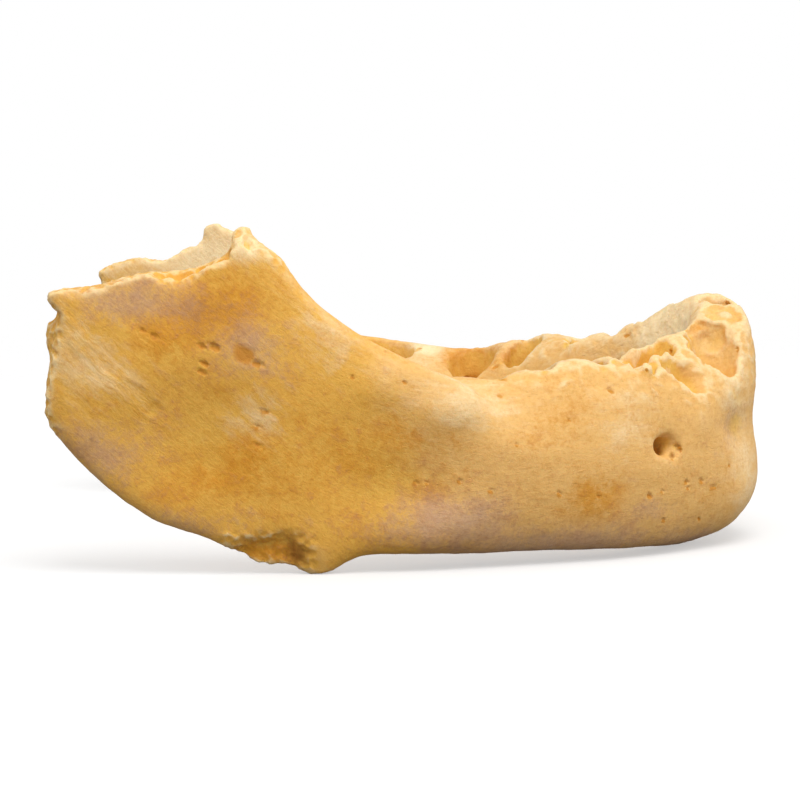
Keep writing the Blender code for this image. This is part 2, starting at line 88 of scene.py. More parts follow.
# %% [markdown]
# ## Camera
#
# The picture looks straight at the bone's right side from a little above. A long lens from 36 cm
# keeps the near and the far half nearly the same size, as a close-up lens does.

# %% Camera
CAMERA_DISTANCE = 0.36
CAMERA_ANGLE = math.radians(5.5)
SENSOR = 36.0
LENS = 150.0
NEAREST = 0.01
AIM = place(0.0, 0.0, 14.4)
TO_CAMERA = Vector((0.0, -math.cos(CAMERA_ANGLE), math.sin(CAMERA_ANGLE)))

camera_data = bpy.data.cameras.new("camera")
camera_data.sensor_width = SENSOR
camera_data.lens = LENS
camera_data.clip_start = NEAREST
camera = bpy.data.objects.new("camera", camera_data)
bpy.context.scene.collection.objects.link(camera)
camera.location = AIM + TO_CAMERA * CAMERA_DISTANCE
camera.rotation_euler = (-TO_CAMERA).to_track_quat("-Z", "Y").to_euler()
bpy.context.scene.camera = camera
print("camera at", [round(v, 3) for v in camera.location])

# %% [markdown]
# ## Light
#
# A soft studio: one broad lamp high in front, and a pale surrounding that fills the shadows from
# above, from the camera's side and from both ends, more from the chin's than from the other. The
# Standard view shows a colour as it is mixed, which makes matching a pale ochre easier than a
# film-like view would. The surrounding is pure white where the camera sees it and dimmer where it
# only lights the bone, as the wall of a light tent is.

# %% Lamp and surrounding
LAMP_WAY = Vector((0.12, -0.50, 0.85)).normalized()
LAMP_DISTANCE = 0.6
LAMP_SIZE = 0.34
LAMP_POWER = 1.87
FILL_ABOVE = 0.55
FILL_BELOW = 0.10
FILL_FRONT = 0.35
FILL_RIGHT = 0.72
FILL_LEFT = 0.40

lamp_data = bpy.data.lights.new("studio_lamp", "AREA")
lamp_data.shape = "DISK"
lamp_data.size = LAMP_SIZE
lamp_data.energy = LAMP_POWER
lamp = bpy.data.objects.new("studio_lamp", lamp_data)
bpy.context.scene.collection.objects.link(lamp)
lamp.location = AIM + LAMP_WAY * LAMP_DISTANCE
lamp.rotation_euler = (-LAMP_WAY).to_track_quat("-Z", "Y").to_euler()

world = bpy.data.worlds.new("studio")
world.use_nodes = True
bpy.context.scene.world = world
bpy.context.scene.view_settings.view_transform = "Standard"

# %% [markdown]
# ## Shader sums in Python
#
# A material here is arithmetic on patterns: more of this stain where that noise is high. Drawing
# such sums as nodes one by one hides the sum, so a small class wraps a socket, and Python's own
# operators add the Math nodes. Every other kind of node comes from one method, `of`.


# %% The Signal class
class Signal:
    """One output of a node tree, which Python's operators turn into sums of Math nodes."""

    tree = None

    def __init__(self, socket):
        self.socket = socket

    @classmethod
    def of(cls, kind, settings=None, values=None, out=0):
        """A node of this kind: first its settings, then its sockets' values or links."""
        node = cls.tree.nodes.new(kind)
        for key, value in (settings or {}).items():
            setattr(node, key, value)
        for key, value in (values or {}).items():
            if isinstance(value, Signal):
                cls.tree.links.new(value.socket, node.inputs[key])
            else:
                node.inputs[key].default_value = value
        return cls(node.outputs[out])

    @classmethod
    def math(cls, operation, *terms):
        settings = {"operation": operation}
        return cls.of("ShaderNodeMath", settings, dict(enumerate(terms)))

    def __add__(self, other):
        return Signal.math("ADD", self, other)

    def __radd__(self, other):
        return Signal.math("ADD", other, self)

    def __sub__(self, other):
        return Signal.math("SUBTRACT", self, other)

    def __rsub__(self, other):
        return Signal.math("SUBTRACT", other, self)

    def __mul__(self, other):
        return Signal.math("MULTIPLY", self, other)

    def __rmul__(self, other):
        return Signal.math("MULTIPLY", other, self)

    def ramp(self, low, high):
        """0 below low and 1 above high, with a soft rise between."""
        settings = {"interpolation_type": "SMOOTHSTEP"}
        return Signal.of("ShaderNodeMapRange", settings, {0: self, 1: low, 2: high})


def mixed(first, second, share, kind="MIX"):
    """One colour over another by a share."""
    settings = {"data_type": "RGBA", "blend_type": kind, "clamp_factor": True}
    return Signal.of("ShaderNodeMix", settings, {0: share, 6: first, 7: second}, out=2)


# %% The surrounding's nodes
Signal.tree = world.node_tree
seen = Signal.of("ShaderNodeLightPath")
way = Signal.of("ShaderNodeSeparateXYZ", None, {0: Signal.of("ShaderNodeTexCoord")}).socket.node
rightwards, upwards = Signal(way.outputs["X"]), Signal(way.outputs["Z"])
frontwards = 0.0 - Signal(way.outputs["Y"])
fill = FILL_BELOW + (FILL_ABOVE - FILL_BELOW) * upwards.ramp(-0.2, 0.5)
fill = fill + FILL_FRONT * frontwards.ramp(-0.2, 0.6) * upwards.ramp(-0.35, 0.15)
fill = fill + FILL_RIGHT * rightwards.ramp(0.1, 0.8) * upwards.ramp(-0.5, 0.0)
fill = fill + FILL_LEFT * (0.0 - rightwards).ramp(0.2, 0.9) * upwards.ramp(-0.3, 0.3)
strength = fill + (1.0 - fill) * seen
background = world.node_tree.nodes["Background"]
background.inputs["Color"].default_value = (1.0, 1.0, 1.0, 1.0)
world.node_tree.links.new(strength.socket, background.inputs["Strength"])
print("surrounding lights at", FILL_BELOW, "to", FILL_ABOVE)

# %% [markdown]
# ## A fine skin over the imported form
#
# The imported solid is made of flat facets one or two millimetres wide, which show on a smooth bone.
# A copy of it is merged, because its triangles come apart at every edge, and covered with an even
# net of small faces by the voxel remesh. The facets then go by moving each point towards the
# middle of its neighbours, but only where the bone is smooth: the ragged breaks have to stay sharp.
# Subdividing the copy would be simpler, and would round off those breaks.

# %% The merged copy and its even net
NET = 0.26
MERGE_WITHIN = 1e-6


def even_net(item, size):
    """The object's mesh as even small quads, `size` millimetres wide."""
    modifier = item.modifiers.new("Even net", "REMESH")
    modifier.mode = "VOXEL"
    modifier.voxel_size = size * MM
    return baked(item)


def baked(item):
    """The object with its modifiers made into mesh."""
    graph = bpy.context.evaluated_depsgraph_get()
    graph.update()
    mesh = bpy.data.meshes.new_from_object(item.evaluated_get(graph))
    item.modifiers.clear()
    item.data = mesh
    return item


def new_item(name, form):
    """An object made from a bmesh, which is freed."""
    mesh = bpy.data.meshes.new(name)
    form.to_mesh(mesh)
    form.free()
    item = bpy.data.objects.new(name, mesh)
    bpy.context.scene.collection.objects.link(item)
    return item


# A lumpy ball: its middle, its half sizes and its turn about z in degrees
Ball = namedtuple("Ball", "x y z rx ry rz turn", defaults=(0.0,))
LUMP = 0.30
LUMP_SIZE = 0.8
BALL_FINENESS = 3

form = bmesh.new()
bmesh.ops.create_icosphere(form, subdivisions=BALL_FINENESS, radius=1.0)
ROUND = bpy.data.meshes.new("round")
form.to_mesh(ROUND)
form.free()


def add_ball(form, ball):
    """A sphere of the ball's half sizes in mm, turned about z by degrees, with a lumpy skin."""
    shape = ROUND.copy()
    turn = Matrix.Rotation(math.radians(ball.turn), 3, "Z")
    middle = Vector((ball.x, ball.y, ball.z))
    for vert in shape.vertices:
        reach = Vector((vert.co.x * ball.rx, vert.co.y * ball.ry, vert.co.z * ball.rz))
        spot = middle + turn @ reach
        lumpy = 1.0 + LUMP * noise.noise(spot / LUMP_SIZE)
        vert.co = place(*(middle + turn @ reach * lumpy))
    form.from_mesh(shape)
    bpy.data.meshes.remove(shape)


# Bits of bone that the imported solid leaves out: the bridge in the canal's mouth, the strut at the
# broken angle, the crumbling walls between the front sockets, the floors of three of them and a
# peak of the crest behind them
ADDED = [
    Ball(28.1, -15.7, 11.2, 1.0, 0.7, 1.6, 32.0),
    Ball(27.5, -16.1, 9.9, 0.8, 0.5, 0.5, 32.0),
    Ball(-11.8, -28.95, 1.75, 0.22, 0.35, 0.7),
    Ball(26.5, -13.0, 19.2, 1.0, 0.45, 1.5, 40.0),
    Ball(28.0, -12.0, 19.1, 1.2, 0.45, 1.4, 40.0),
    Ball(29.7, -11.1, 18.9, 1.2, 0.5, 1.2, 35.0),
    Ball(26.9, -10.8, 16.4, 3.0, 1.8, 1.9, 40.0),
    Ball(24.8, -13.8, 17.4, 2.5, 2.0, 1.8, 30.0),
    Ball(34.4, -3.2, 22.0, 1.9, 0.9, 1.3, 20.0),
    Ball(34.5, -1.2, 22.0, 2.0, 2.0, 2.1, 75.0),
    Ball(25.3, -16.9, 19.0, 0.8, 0.5, 0.75, 30.0),
]

copy = bmesh.new()
copy.from_mesh(NODE.data)
bmesh.ops.remove_doubles(copy, verts=copy.verts, dist=MERGE_WITHIN)
for ball in ADDED:
    add_ball(copy, ball)
bone = even_net(new_item("bone", copy), NET)
print("net of", len(bone.data.vertices), "points", clock())

# %% [markdown]
# ## Moving many points at once
#
# The net has more than a hundred thousand points, too many for a Python loop over each of them at
# every step, so their places are read into one array and worked on together. The mean of a
# point's neighbours, the tool behind all the smoothing below, is two sums over the list of edges.

# %% Points, neighbours and normals as arrays


class Points:
    """The points of a mesh as arrays, with means over each point's neighbours."""

    def __init__(self, mesh):
        self.mesh = mesh
        self.count = len(mesh.vertices)
        ends = np.empty(len(mesh.edges) * 2, np.int64)
        mesh.edges.foreach_get("vertices", ends)
        self.ends = ends.reshape(-1, 2)
        self.near = np.bincount(self.ends.ravel(), minlength=self.count)

    def places(self):
        rows = np.empty(self.count * 3)
        self.mesh.vertices.foreach_get("co", rows)
        return rows.reshape(-1, 3)

    def normals(self):
        rows = np.empty(self.count * 3, np.float32)
        self.mesh.vertex_normals.foreach_get("vector", rows)
        return rows.reshape(-1, 3).astype(float)

    def set_places(self, rows):
        self.mesh.vertices.foreach_set("co", rows.ravel())
        self.mesh.update()

    def mean(self, values, rounds=1, share=1.0):
        """Each value drawn towards the mean of its neighbours' values, again and again."""
        first, second = self.ends.T
        values = np.array(values, float)
        columns = values.reshape(self.count, -1)
        for _ in range(rounds):
            total = np.empty_like(columns)
            for i in range(columns.shape[1]):
                column = columns[:, i]
                total[:, i] = np.bincount(first, column[second], self.count)
                total[:, i] += np.bincount(second, column[first], self.count)
            columns += share * (total / self.near[:, None] - columns)
        return columns.reshape(values.shape)


def rise(value, low, high):
    """0 below low and 1 above high, with a soft rise between."""
    t = np.clip((value - low) / (high - low), 0.0, 1.0)
    return t * t * (3.0 - 2.0 * t)


# %% The facets smoothed away
FACET_ROUNDS = 26
FACET_SHARE = 0.5
WIDE_ROUNDS = 10  # how far round a point the normals are compared, in rounds of the mean
RAGGED, SMOOTH = 0.86, 0.96  # how well they agree at a break and on smooth bone

skin = Points(bone.data)
agreement = np.linalg.norm(skin.mean(skin.normals(), WIDE_ROUNDS), axis=1)
flat = rise(agreement, RAGGED, SMOOTH)
places = skin.places()
for _ in range(FACET_ROUNDS):
    places += FACET_SHARE * flat[:, None] * (skin.mean(places) - places)
skin.set_places(places)
print("smooth share of the net:", round(float(flat.mean()), 2), clock())

# %% [markdown]
# ## Hollows cut with gouges
#
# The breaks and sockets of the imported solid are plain. In the real bone the break of a ramus shows
# two thin plates with a spongy trough between them, a socket runs down into narrower root ends,
# and the walls between sockets are bitten away. All of these are missing bone, so they are made as
# a carver would: lumpy balls, each a sphere with its points pushed by noise, are laid where the
# bone has gone, melted into one form by the remesh, and taken away with one Boolean. Pushing the
# skin inwards instead could never pierce a wall or undercut an edge.

# %% Troughs between the plates of the broken rami
SEED = 11
chance = np.random.default_rng(SEED)

RIGHT_TOP = [
    Ball(-14.9, -31.1, 33.1, 0.55, 0.8, 1.3),
    Ball(-17.6, -31.0, 31.6, 1.3, 0.8, 1.0),
    Ball(-19.6, -31.0, 30.7, 1.4, 0.9, 1.0),
    Ball(-21.6, -31.1, 29.9, 1.4, 1.1, 1.3),
    Ball(-23.2, -31.3, 30.3, 1.3, 1.0, 1.4),
    Ball(-25.4, -31.7, 30.5, 1.4, 0.7, 1.0),
    Ball(-27.8, -31.8, 29.8, 1.6, 0.9, 1.2),
    Ball(-30.6, -31.9, 29.2, 1.6, 0.8, 1.0),
    Ball(-33.2, -32.0, 28.8, 1.3, 0.9, 1.1),
]
LEFT_TOP = [
    Ball(-12.6, 30.0, 27.6, 1.0, 0.8, 1.0),
    Ball(-15.2, 30.4, 28.4, 1.2, 0.9, 1.1),
    Ball(-18.0, 30.6, 31.2, 1.0, 0.7, 1.0),
    Ball(-20.6, 30.9, 31.8, 1.3, 0.8, 1.1),
    Ball(-23.6, 31.3, 29.8, 1.2, 1.0, 1.2),
    Ball(-26.6, 31.5, 28.8, 1.6, 0.9, 1.1),
    Ball(-29.8, 31.7, 28.4, 1.6, 0.9, 1.1),
    Ball(-33.0, 31.9, 27.8, 1.4, 0.9, 1.0),
]
REAR = [
    Ball(-35.6, -31.6, 25.6, 0.9, 0.9, 0.8),
    Ball(-35.5, -32.6, 24.2, 0.8, 0.7, 0.7),
    Ball(-35.7, -31.4, 22.8, 0.9, 0.8, 0.9),
    Ball(-35.3, -32.4, 21.4, 0.7, 0.7, 0.8),
    Ball(-35.9, -31.8, 19.4, 0.9, 0.9, 1.2),
    Ball(-36.0, -31.8, 16.8, 0.9, 0.8, 1.2),
    Ball(-35.7, 31.8, 25.2, 0.9, 1.0, 1.0),
    Ball(-36.0, 31.6, 22.8, 1.0, 0.9, 1.1),
    Ball(-35.6, 32.2, 20.4, 0.8, 0.9, 1.1),
    Ball(-35.8, 31.8, 18.0, 0.9, 0.9, 1.1),
    Ball(-35.8, 31.8, 15.6, 0.9, 0.8, 1.0),
]
ANGLE = [
    Ball(-14.4, -30.4, 2.4, 1.7, 0.8, 0.5),
    Ball(-11.8, -30.0, 3.0, 0.6, 0.9, 0.6),
    Ball(-8.9, -30.0, 0.4, 1.0, 0.9, 0.5),
]

# %% Root ends of the sockets
# A socket: the middle of its mouth, the height of the mouth, its half sizes along and across the
# arch, the height of its foot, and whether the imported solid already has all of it
Socket = namedtuple("Socket", "x y top along across foot whole", defaults=(False,))
SOCKETS = [
    Socket(34.6, -1.9, 22.6, 1.9, 1.6, 17.8, True),
    Socket(33.2, -6.7, 20.4, 2.2, 2.3, 15.8, True),
    Socket(26.9, -10.7, 20.4, 2.0, 1.3, 15.6, True),
    Socket(24.1, -14.3, 18.8, 1.9, 2.3, 15.4, True),
    Socket(19.6, -16.4, 18.8, 1.2, 2.1, 14.0),
    Socket(13.9, -18.4, 17.6, 1.6, 2.4, 11.6),
    Socket(8.8, -20.1, 17.0, 1.9, 2.4, 10.8),
    Socket(0.4, -22.6, 16.4, 3.0, 2.1, 10.6),
    Socket(34.5, 2.6, 23.0, 1.6, 1.9, 15.4),
    Socket(32.5, 7.5, 22.0, 1.8, 2.1, 14.2),
    Socket(28.7, 11.4, 20.4, 2.0, 2.2, 12.6),
    Socket(24.7, 13.9, 19.0, 1.4, 2.2, 13.4),
    Socket(20.6, 15.8, 18.6, 1.2, 2.1, 13.6),
    Socket(13.9, 18.6, 16.2, 1.7, 2.3, 11.2),
    Socket(8.2, 20.5, 15.2, 2.3, 2.4, 10.2),
    Socket(-1.4, 23.6, 16.0, 2.7, 2.1, 10.8),
]
# How the arch is turned from the x axis, in degrees, at some places along x
ARCH_TURN = [(-4.0, 21.0), (10.0, 21.0), (22.0, 28.0), (28.0, 40.0), (33.0, 68.0), (36.0, 90.0)]


def arch_turn(x, y):
    """How the arch is turned at a point: one way on the right side, the other on the left."""
    turn = float(np.interp(x, *zip(*ARCH_TURN)))
    return turn if y < 0.0 else -turn


# Each hollow of a root end: how far down the socket it is, how wide and how tall, as shares
ROOT_ENDS = [(0.30, 1.05, 0.30), (0.50, 0.80, 0.45), (0.62, 0.60, 0.40), (0.78, 0.42, 0.30)]
OFF_MIDDLE = 0.25


def root_ends(socket):
    """Ever narrower hollows below the mouth of a socket, none quite in its middle."""
    turn = arch_turn(socket.x, socket.y)
    depth = socket.top - socket.foot
    for down, wide, tall in ROOT_ENDS:
        yield Ball(
            socket.x + chance.uniform(-OFF_MIDDLE, OFF_MIDDLE) * socket.along,
            socket.y + chance.uniform(-OFF_MIDDLE, OFF_MIDDLE) * socket.across,
            socket.top - down * depth,
            wide * socket.along, wide * socket.across, tall * depth, turn,
        )


# %% Bites out of the thin walls and the canal behind the foramen
BITES = 11
PLATE_BITES = 2
GOUGE_NET = 0.2


def rim_bites(socket):
    """Small bites round the mouth of a socket, so that its rim is ragged."""
    turn = math.radians(arch_turn(socket.x, socket.y))
    for i in range(BITES):
        angle = math.tau * (i + chance.uniform(-0.4, 0.4)) / BITES
        away = chance.uniform(1.15, 1.5)
        along = away * socket.along * math.cos(angle)
        across = away * socket.across * math.sin(angle)
        size = chance.uniform(0.15, 0.5)
        yield Ball(
            socket.x + along * math.cos(turn) - across * math.sin(turn),
            socket.y + along * math.sin(turn) + across * math.cos(turn),
            socket.top + chance.uniform(1.0, 2.6),
            size, size * 0.8, size * 0.9, math.degrees(turn),
        )


NICKS = [
    Ball(26.6, -14.7, 20.0, 1.0, 0.7, 0.9, 30.0),
    Ball(28.2, -13.9, 19.3, 1.3, 0.8, 1.0, 35.0),
    Ball(29.8, -13.0, 18.4, 1.3, 0.9, 1.1, 35.0),
    Ball(31.0, -12.2, 17.7, 0.9, 0.7, 0.8, 40.0),
    Ball(32.6, -5.4, 22.0, 1.5, 0.9, 1.0, 20.0),
    Ball(31.4, -5.7, 22.3, 1.2, 1.3, 1.2, 20.0),
    Ball(31.8, -4.8, 22.9, 1.2, 1.1, 1.0, 20.0),
    Ball(33.4, -4.5, 22.5, 1.3, 0.9, 0.9, 20.0),
    Ball(32.8, -4.6, 21.2, 2.0, 0.95, 1.7, 20.0),
    Ball(30.8, -7.2, 21.6, 1.0, 1.0, 1.0, 20.0),
    Ball(31.0, -8.3, 20.7, 1.1, 0.9, 0.9, 20.0),
    Ball(32.2, -8.6, 19.7, 1.3, 1.0, 1.2, 30.0),
    Ball(31.2, -11.7, 18.3, 0.9, 0.7, 1.1, 35.0),
    Ball(35.0, -1.9, 24.3, 0.9, 0.7, 0.6, 75.0),
    Ball(30.0, -10.3, 20.6, 0.6, 0.6, 0.6, 30.0),
    Ball(21.3, -18.4, 21.0, 1.5, 1.4, 1.05, 30.0),
    Ball(22.9, -17.8, 20.4, 1.2, 1.4, 0.95, 30.0),
    Ball(-3.0, -29.3, 22.8, 0.7, 0.8, 0.2),
    Ball(-2.1, -29.2, 22.2, 0.7, 0.8, 0.25),
    Ball(-1.2, -29.1, 21.7, 0.7, 0.8, 0.25),
    Ball(-0.4, -29.0, 21.3, 0.6, 0.8, 0.2),
    Ball(28.2, -12.3, 20.4, 0.4, 0.5, 0.35),
    Ball(27.0, -12.8, 20.9, 0.3, 0.5, 0.3),
    Ball(30.4, -10.6, 19.9, 0.35, 0.5, 0.3),
    Ball(31.8, -10.2, 19.2, 0.3, 0.4, 0.35),
    Ball(29.6, -9.2, 21.4, 0.35, 0.4, 0.3),
    Ball(33.6, -4.3, 23.2, 0.5, 0.4, 0.25),
    Ball(24.2, -17.4, 19.9, 0.5, 0.5, 0.3),
    Ball(26.6, -16.2, 19.0, 0.4, 0.5, 0.3),
    Ball(29.2, -14.8, 17.5, 0.4, 0.5, 0.25),
    Ball(30.8, -13.4, 17.2, 0.3, 0.4, 0.3),
    Ball(21.4, -19.0, 19.9, 0.5, 0.4, 0.3),
]
CANALS = [
    Ball(28.75, -16.8, 11.1, 0.40, 1.1, 0.48, 30.0),
    Ball(28.05, -17.1, 10.3, 0.30, 0.9, 0.34, 30.0),
    Ball(27.75, -16.8, 11.4, 0.26, 0.7, 0.26, 30.0),
    Ball(27.9, -17.3, 11.2, 1.1, 0.6, 1.2, 30.0),
    Ball(26.4, -16.9, 11.1, 1.1, 1.3, 1.0, 30.0),
    Ball(25.6, -16.4, 10.6, 1.3, 0.8, 0.8, 30.0),
    Ball(26.4, 17.0, 10.7, 1.0, 1.2, 0.9, -30.0),
    Ball(-19.0, -29.3, 16.6, 1.0, 0.8, 1.4),
    Ball(-19.3, 29.3, 16.4, 1.0, 0.8, 1.4),
]


def plate_bites(ball):
    """Small bites out of the inner plate beside a trough in the top of a ramus."""
    inwards = -math.copysign(1.0, ball.y)
    for _ in range(PLATE_BITES):
        size = chance.uniform(0.3, 0.6)
        yield Ball(
            ball.x + chance.uniform(-1.2, 1.2),
            ball.y + inwards * chance.uniform(1.0, 1.6),
            ball.z + ball.rz + chance.uniform(-0.2, 0.5),
            size * 1.3, size, size,
        )


gouges = RIGHT_TOP + LEFT_TOP + REAR + ANGLE + CANALS + NICKS
for ball in RIGHT_TOP + LEFT_TOP:
    gouges += list(plate_bites(ball))
for socket in SOCKETS:
    if not socket.whole:
        gouges += list(root_ends(socket)) + list(rim_bites(socket))
balls = bmesh.new()
for ball in gouges:
    add_ball(balls, ball)
cutter = even_net(new_item("gouges", balls), GOUGE_NET)
print(len(gouges), "gouges of", len(cutter.data.polygons), "faces", clock())

# %% The gouges taken away
taken = bone.modifiers.new("gouges", "BOOLEAN")
taken.operation = "DIFFERENCE"
taken.solver = "MANIFOLD"
taken.object = cutter
baked(bone)
bpy.data.objects.remove(cutter)
even_net(bone, NET)
skin = Points(bone.data)
skin.set_places(skin.mean(skin.places(), rounds=1, share=0.5))
print("carved net of", skin.count, "points", clock())

# %% [markdown]
# ## The run of the arch
#
# The grain of a jaw follows its growth: along the body, and slanting up and back over the ramus,
# beside the front border. Streaks of colour and fine ridges both need to know that run, so each
# point gets three numbers: how far along the arch it is, how far to the side, and its height over
# a line that drops towards the chin as the border does. A straight noise stretched along x would
# be easier, and would cut across the curve of the chin.

# %% Along, aside and above
ARCH_HALF = [
    (-42.0, 32.2),
    (-30.0, 31.6),
    (-22.0, 30.9),
    (-14.0, 29.7),
    (-7.0, 28.2),
    (0.0, 25.8),
    (8.0, 22.4),
    (16.4, 18.5),
    (21.6, 16.0),
    (25.8, 13.4),
    (29.4, 10.0),
    (32.0, 6.6),
    (33.6, 3.0),
]
ARCH = [(x, -y) for x, y in ARCH_HALF] + [(34.0, 0.0)] + ARCH_HALF[::-1]
BORDER_SLOPE = -0.85
BORDER_FRONT = 12.0
BORDER_REAR = -14.0


def grain_of(rows):
    """For rows of table places: length along the arch, distance aside, height above the grain."""
    best = np.full(len(rows), np.inf)
    along, aside = np.zeros(len(rows)), np.zeros(len(rows))
    run = 0.0
    for (ax, ay), (bx, by) in zip(ARCH, ARCH[1:]):
        length = math.hypot(bx - ax, by - ay)
        ux, uy = (bx - ax) / length, (by - ay) / length
        t = np.clip((rows[:, 0] - ax) * ux + (rows[:, 1] - ay) * uy, 0.0, length)
        dx, dy = rows[:, 0] - ax - t * ux, rows[:, 1] - ay - t * uy
        distance = np.hypot(dx, dy)
        nearer = distance < best
        best = np.where(nearer, distance, best)
        along = np.where(nearer, run + t, along)
        aside = np.where(nearer, dx * uy - dy * ux, aside)
        run += length
    steps = np.linspace(-45.0, 45.0, 400)
    slopes = BORDER_SLOPE * (1.0 - rise(steps, BORDER_REAR, BORDER_FRONT))
    drop = np.concatenate([[0.0], np.cumsum(slopes[1:] * np.diff(steps))])
    above = rows[:, 2] - np.interp(rows[:, 0], steps, drop)
    return np.stack([along, aside, above], axis=1)


# %% Where the bone is broken open
def spongy_share(rows, normals):
    """1 where a break shows the spongy inside: the tops, the rear edges and the right angle."""
    x, y, z = rows.T
    faces_up = rise(normals[:, 2], 0.1, 0.5)
    top = rise(-x, 10.0, 12.0) * rise(z, 25.4, 27.0) * faces_up
    rear = rise(-x, 32.6, 33.6) * rise(z, 13.0, 14.5) * rise(-normals[:, 0], 0.2, 0.5)
    open_angle = rise(-x, 8.0, 9.0) * rise(-x, 18.5, 17.0) * rise(z, 4.6, 3.8)
    open_angle = open_angle * rise(y, -33.0, -31.6) * rise(-y, 27.0, 28.4)
    return np.maximum(np.maximum(top, rear), open_angle)


def socket_share(rows):
    """1 in and close round the sockets, 0 elsewhere."""
    x, y, z = rows.T
    share = np.zeros(len(rows))
    for s in SOCKETS:
        turn = math.radians(arch_turn(s.x, s.y))
        dx, dy = x - s.x, y - s.y
        along = dx * math.cos(turn) + dy * math.sin(turn)
        across = -dx * math.sin(turn) + dy * math.cos(turn)
        away = np.hypot(along / (s.along + 1.0), across / (s.across + 1.0))
        share = np.maximum(share, rise(-away, -1.15, -0.85) * rise(z, s.foot - 2.5, s.foot))
    return share


# A band of muscle marks seen from the side: its two ends, its half width and its strength
Band = namedtuple("Band", "x z to_x to_z half much")
BANDS = [
    Band(-34.5, 26.8, -25.0, 16.8, 2.6, 1.0),
    Band(-36.0, 24.0, -30.0, 16.0, 2.4, 0.5),
    Band(-13.2, 30.4, -4.0, 20.8, 1.8, 0.5),
    Band(-4.0, 20.8, 4.0, 17.6, 1.6, 0.35),
]


def muscle_share(rows):
    """1 on the ridged bands of the outer side, where muscles held on, 0 elsewhere."""
    x, y, z = rows.T
    share = np.zeros(len(rows))
    for b in BANDS:
        length = math.hypot(b.to_x - b.x, b.to_z - b.z)
        ux, uz = (b.to_x - b.x) / length, (b.to_z - b.z) / length
        t = np.clip((x - b.x) * ux + (z - b.z) * uz, 0.0, length)
        away = np.hypot(x - b.x - t * ux, z - b.z - t * uz)
        share = np.maximum(share, b.much * rise(-away, -b.half, -0.3 * b.half))
    outer = rise(np.abs(y) + 0.55 * np.maximum(x + 20.0, 0.0), 31.0, 32.0)
    return share * outer


# The height at which the porous band starts, at some places along x
CREST_FOOT = [(6.0, 16.4), (14.0, 15.6), (20.0, 16.2), (26.0, 15.4), (31.0, 13.6), (36.0, 15.5)]


def crest_share(rows):
    """1 on the porous band just under the crest of the body, 0 below it and on the ramus."""
    x, z = rows[:, 0], rows[:, 2]
    foot = np.interp(x, *zip(*CREST_FOOT))
    return rise(x, 7.0, 16.0) * rise(z - foot, -0.5, 2.2)


# %% [markdown]
# ## Pits
#
# Small holes let blood vessels into the bone. The larger ones lie where the photograph shows them,
# and a few dozen are scattered over the hidden sides. They are too fine for the net, so the faces
# around each are divided first, then the points are pushed in, deepest at the middle.

# %% Where the pits are
# A pit: its middle, radius and depth, and how much longer than wide it is
Pit = namedtuple("Pit", "x y z radius depth long", defaults=(1.3,))
PITS = [
    Pit(-18.2, -32.6, 22.7, 0.42, 0.55, 1.6),
    Pit(-19.4, -32.7, 22.8, 0.34, 0.40, 1.5),
    Pit(-19.2, -32.6, 21.1, 0.36, 0.42, 1.5),
    Pit(-19.4, -32.5, 20.2, 0.34, 0.38, 1.7),
    Pit(-24.1, -33.1, 23.8, 0.36, 0.34, 1.6),
    Pit(-25.2, -33.1, 24.4, 0.28, 0.24, 1.6),
    Pit(-14.0, -32.2, 21.0, 0.42, 0.40, 1.5),
    Pit(-15.2, -32.3, 21.9, 1.10, 0.30, 1.3),
    Pit(0.5, -30.0, 19.0, 0.26, 0.26),
    Pit(-4.7, -30.8, 19.6, 0.24, 0.24),
    Pit(-13.3, -31.7, 16.3, 0.30, 0.22, 2.2),
    Pit(-14.1, -31.5, 14.7, 0.26, 0.22, 1.6),
    Pit(-14.1, -31.3, 12.9, 0.24, 0.18, 2.6),
    Pit(1.7, -29.0, 8.8, 0.24, 0.26),
    Pit(2.8, -28.9, 8.8, 0.22, 0.22),
    Pit(6.1, -28.3, 8.9, 0.26, 0.24),
    Pit(9.2, -27.4, 7.9, 0.26, 0.28),
    Pit(16.1, -24.6, 7.3, 0.26, 0.24),
    Pit(20.2, -22.6, 6.7, 0.26, 0.22),
    Pit(11.7, -26.6, 12.5, 0.22, 0.20),
    Pit(17.1, -23.5, 14.6, 0.22, 0.18),
    Pit(21.5, -20.4, 17.3, 0.36, 0.34, 1.4),
    Pit(25.6, -19.3, 6.4, 0.36, 0.40, 1.3),
    Pit(27.2, -17.3, 3.6, 0.28, 0.26),
    Pit(29.7, -16.2, 7.4, 0.32, 0.34),
    Pit(29.9, -16.0, 6.8, 0.24, 0.26),
    Pit(31.4, -14.6, 7.3, 0.32, 0.34, 1.4),
    Pit(32.5, -13.2, 6.5, 0.24, 0.24),
    Pit(34.6, -10.7, 8.5, 0.24, 0.22),
    Pit(27.0, -18.3, 6.7, 0.24, 0.20),
    Pit(31.2, -13.5, 3.2, 0.28, 0.24),
    Pit(10.4, -22.9, 18.7, 0.45, 0.20),
    Pit(10.1, -24.6, 17.2, 0.40, 0.16),
    Pit(28.75, -17.2, 11.1, 0.30, 0.50, 1.0),
    Pit(28.05, -17.4, 10.3, 0.24, 0.45, 1.0),
    Pit(27.70, -17.0, 11.4, 0.20, 0.30, 1.0),
    Pit(28.5, -9.0, 20.4, 0.26, 0.60, 1.0),
    Pit(25.3, -17.4, 19.1, 0.20, 0.35, 1.0),
    Pit(35.7, -5.6, 20.4, 0.22, 0.40, 1.0),
]
SCATTERED = 90
SCATTER_FRONT = -6.0  # only on points further left than this, as y


def scattered_pits(rows):
    """Pits at random points of the sides that the table above leaves bare."""
    bare = np.flatnonzero(rows[:, 1] > SCATTER_FRONT)
    for i in chance.choice(bare, SCATTERED, replace=False):
        radius = chance.uniform(0.2, 0.42)
        yield Pit(*rows[i], radius, radius * chance.uniform(0.7, 1.1), chance.uniform(1.0, 1.8))


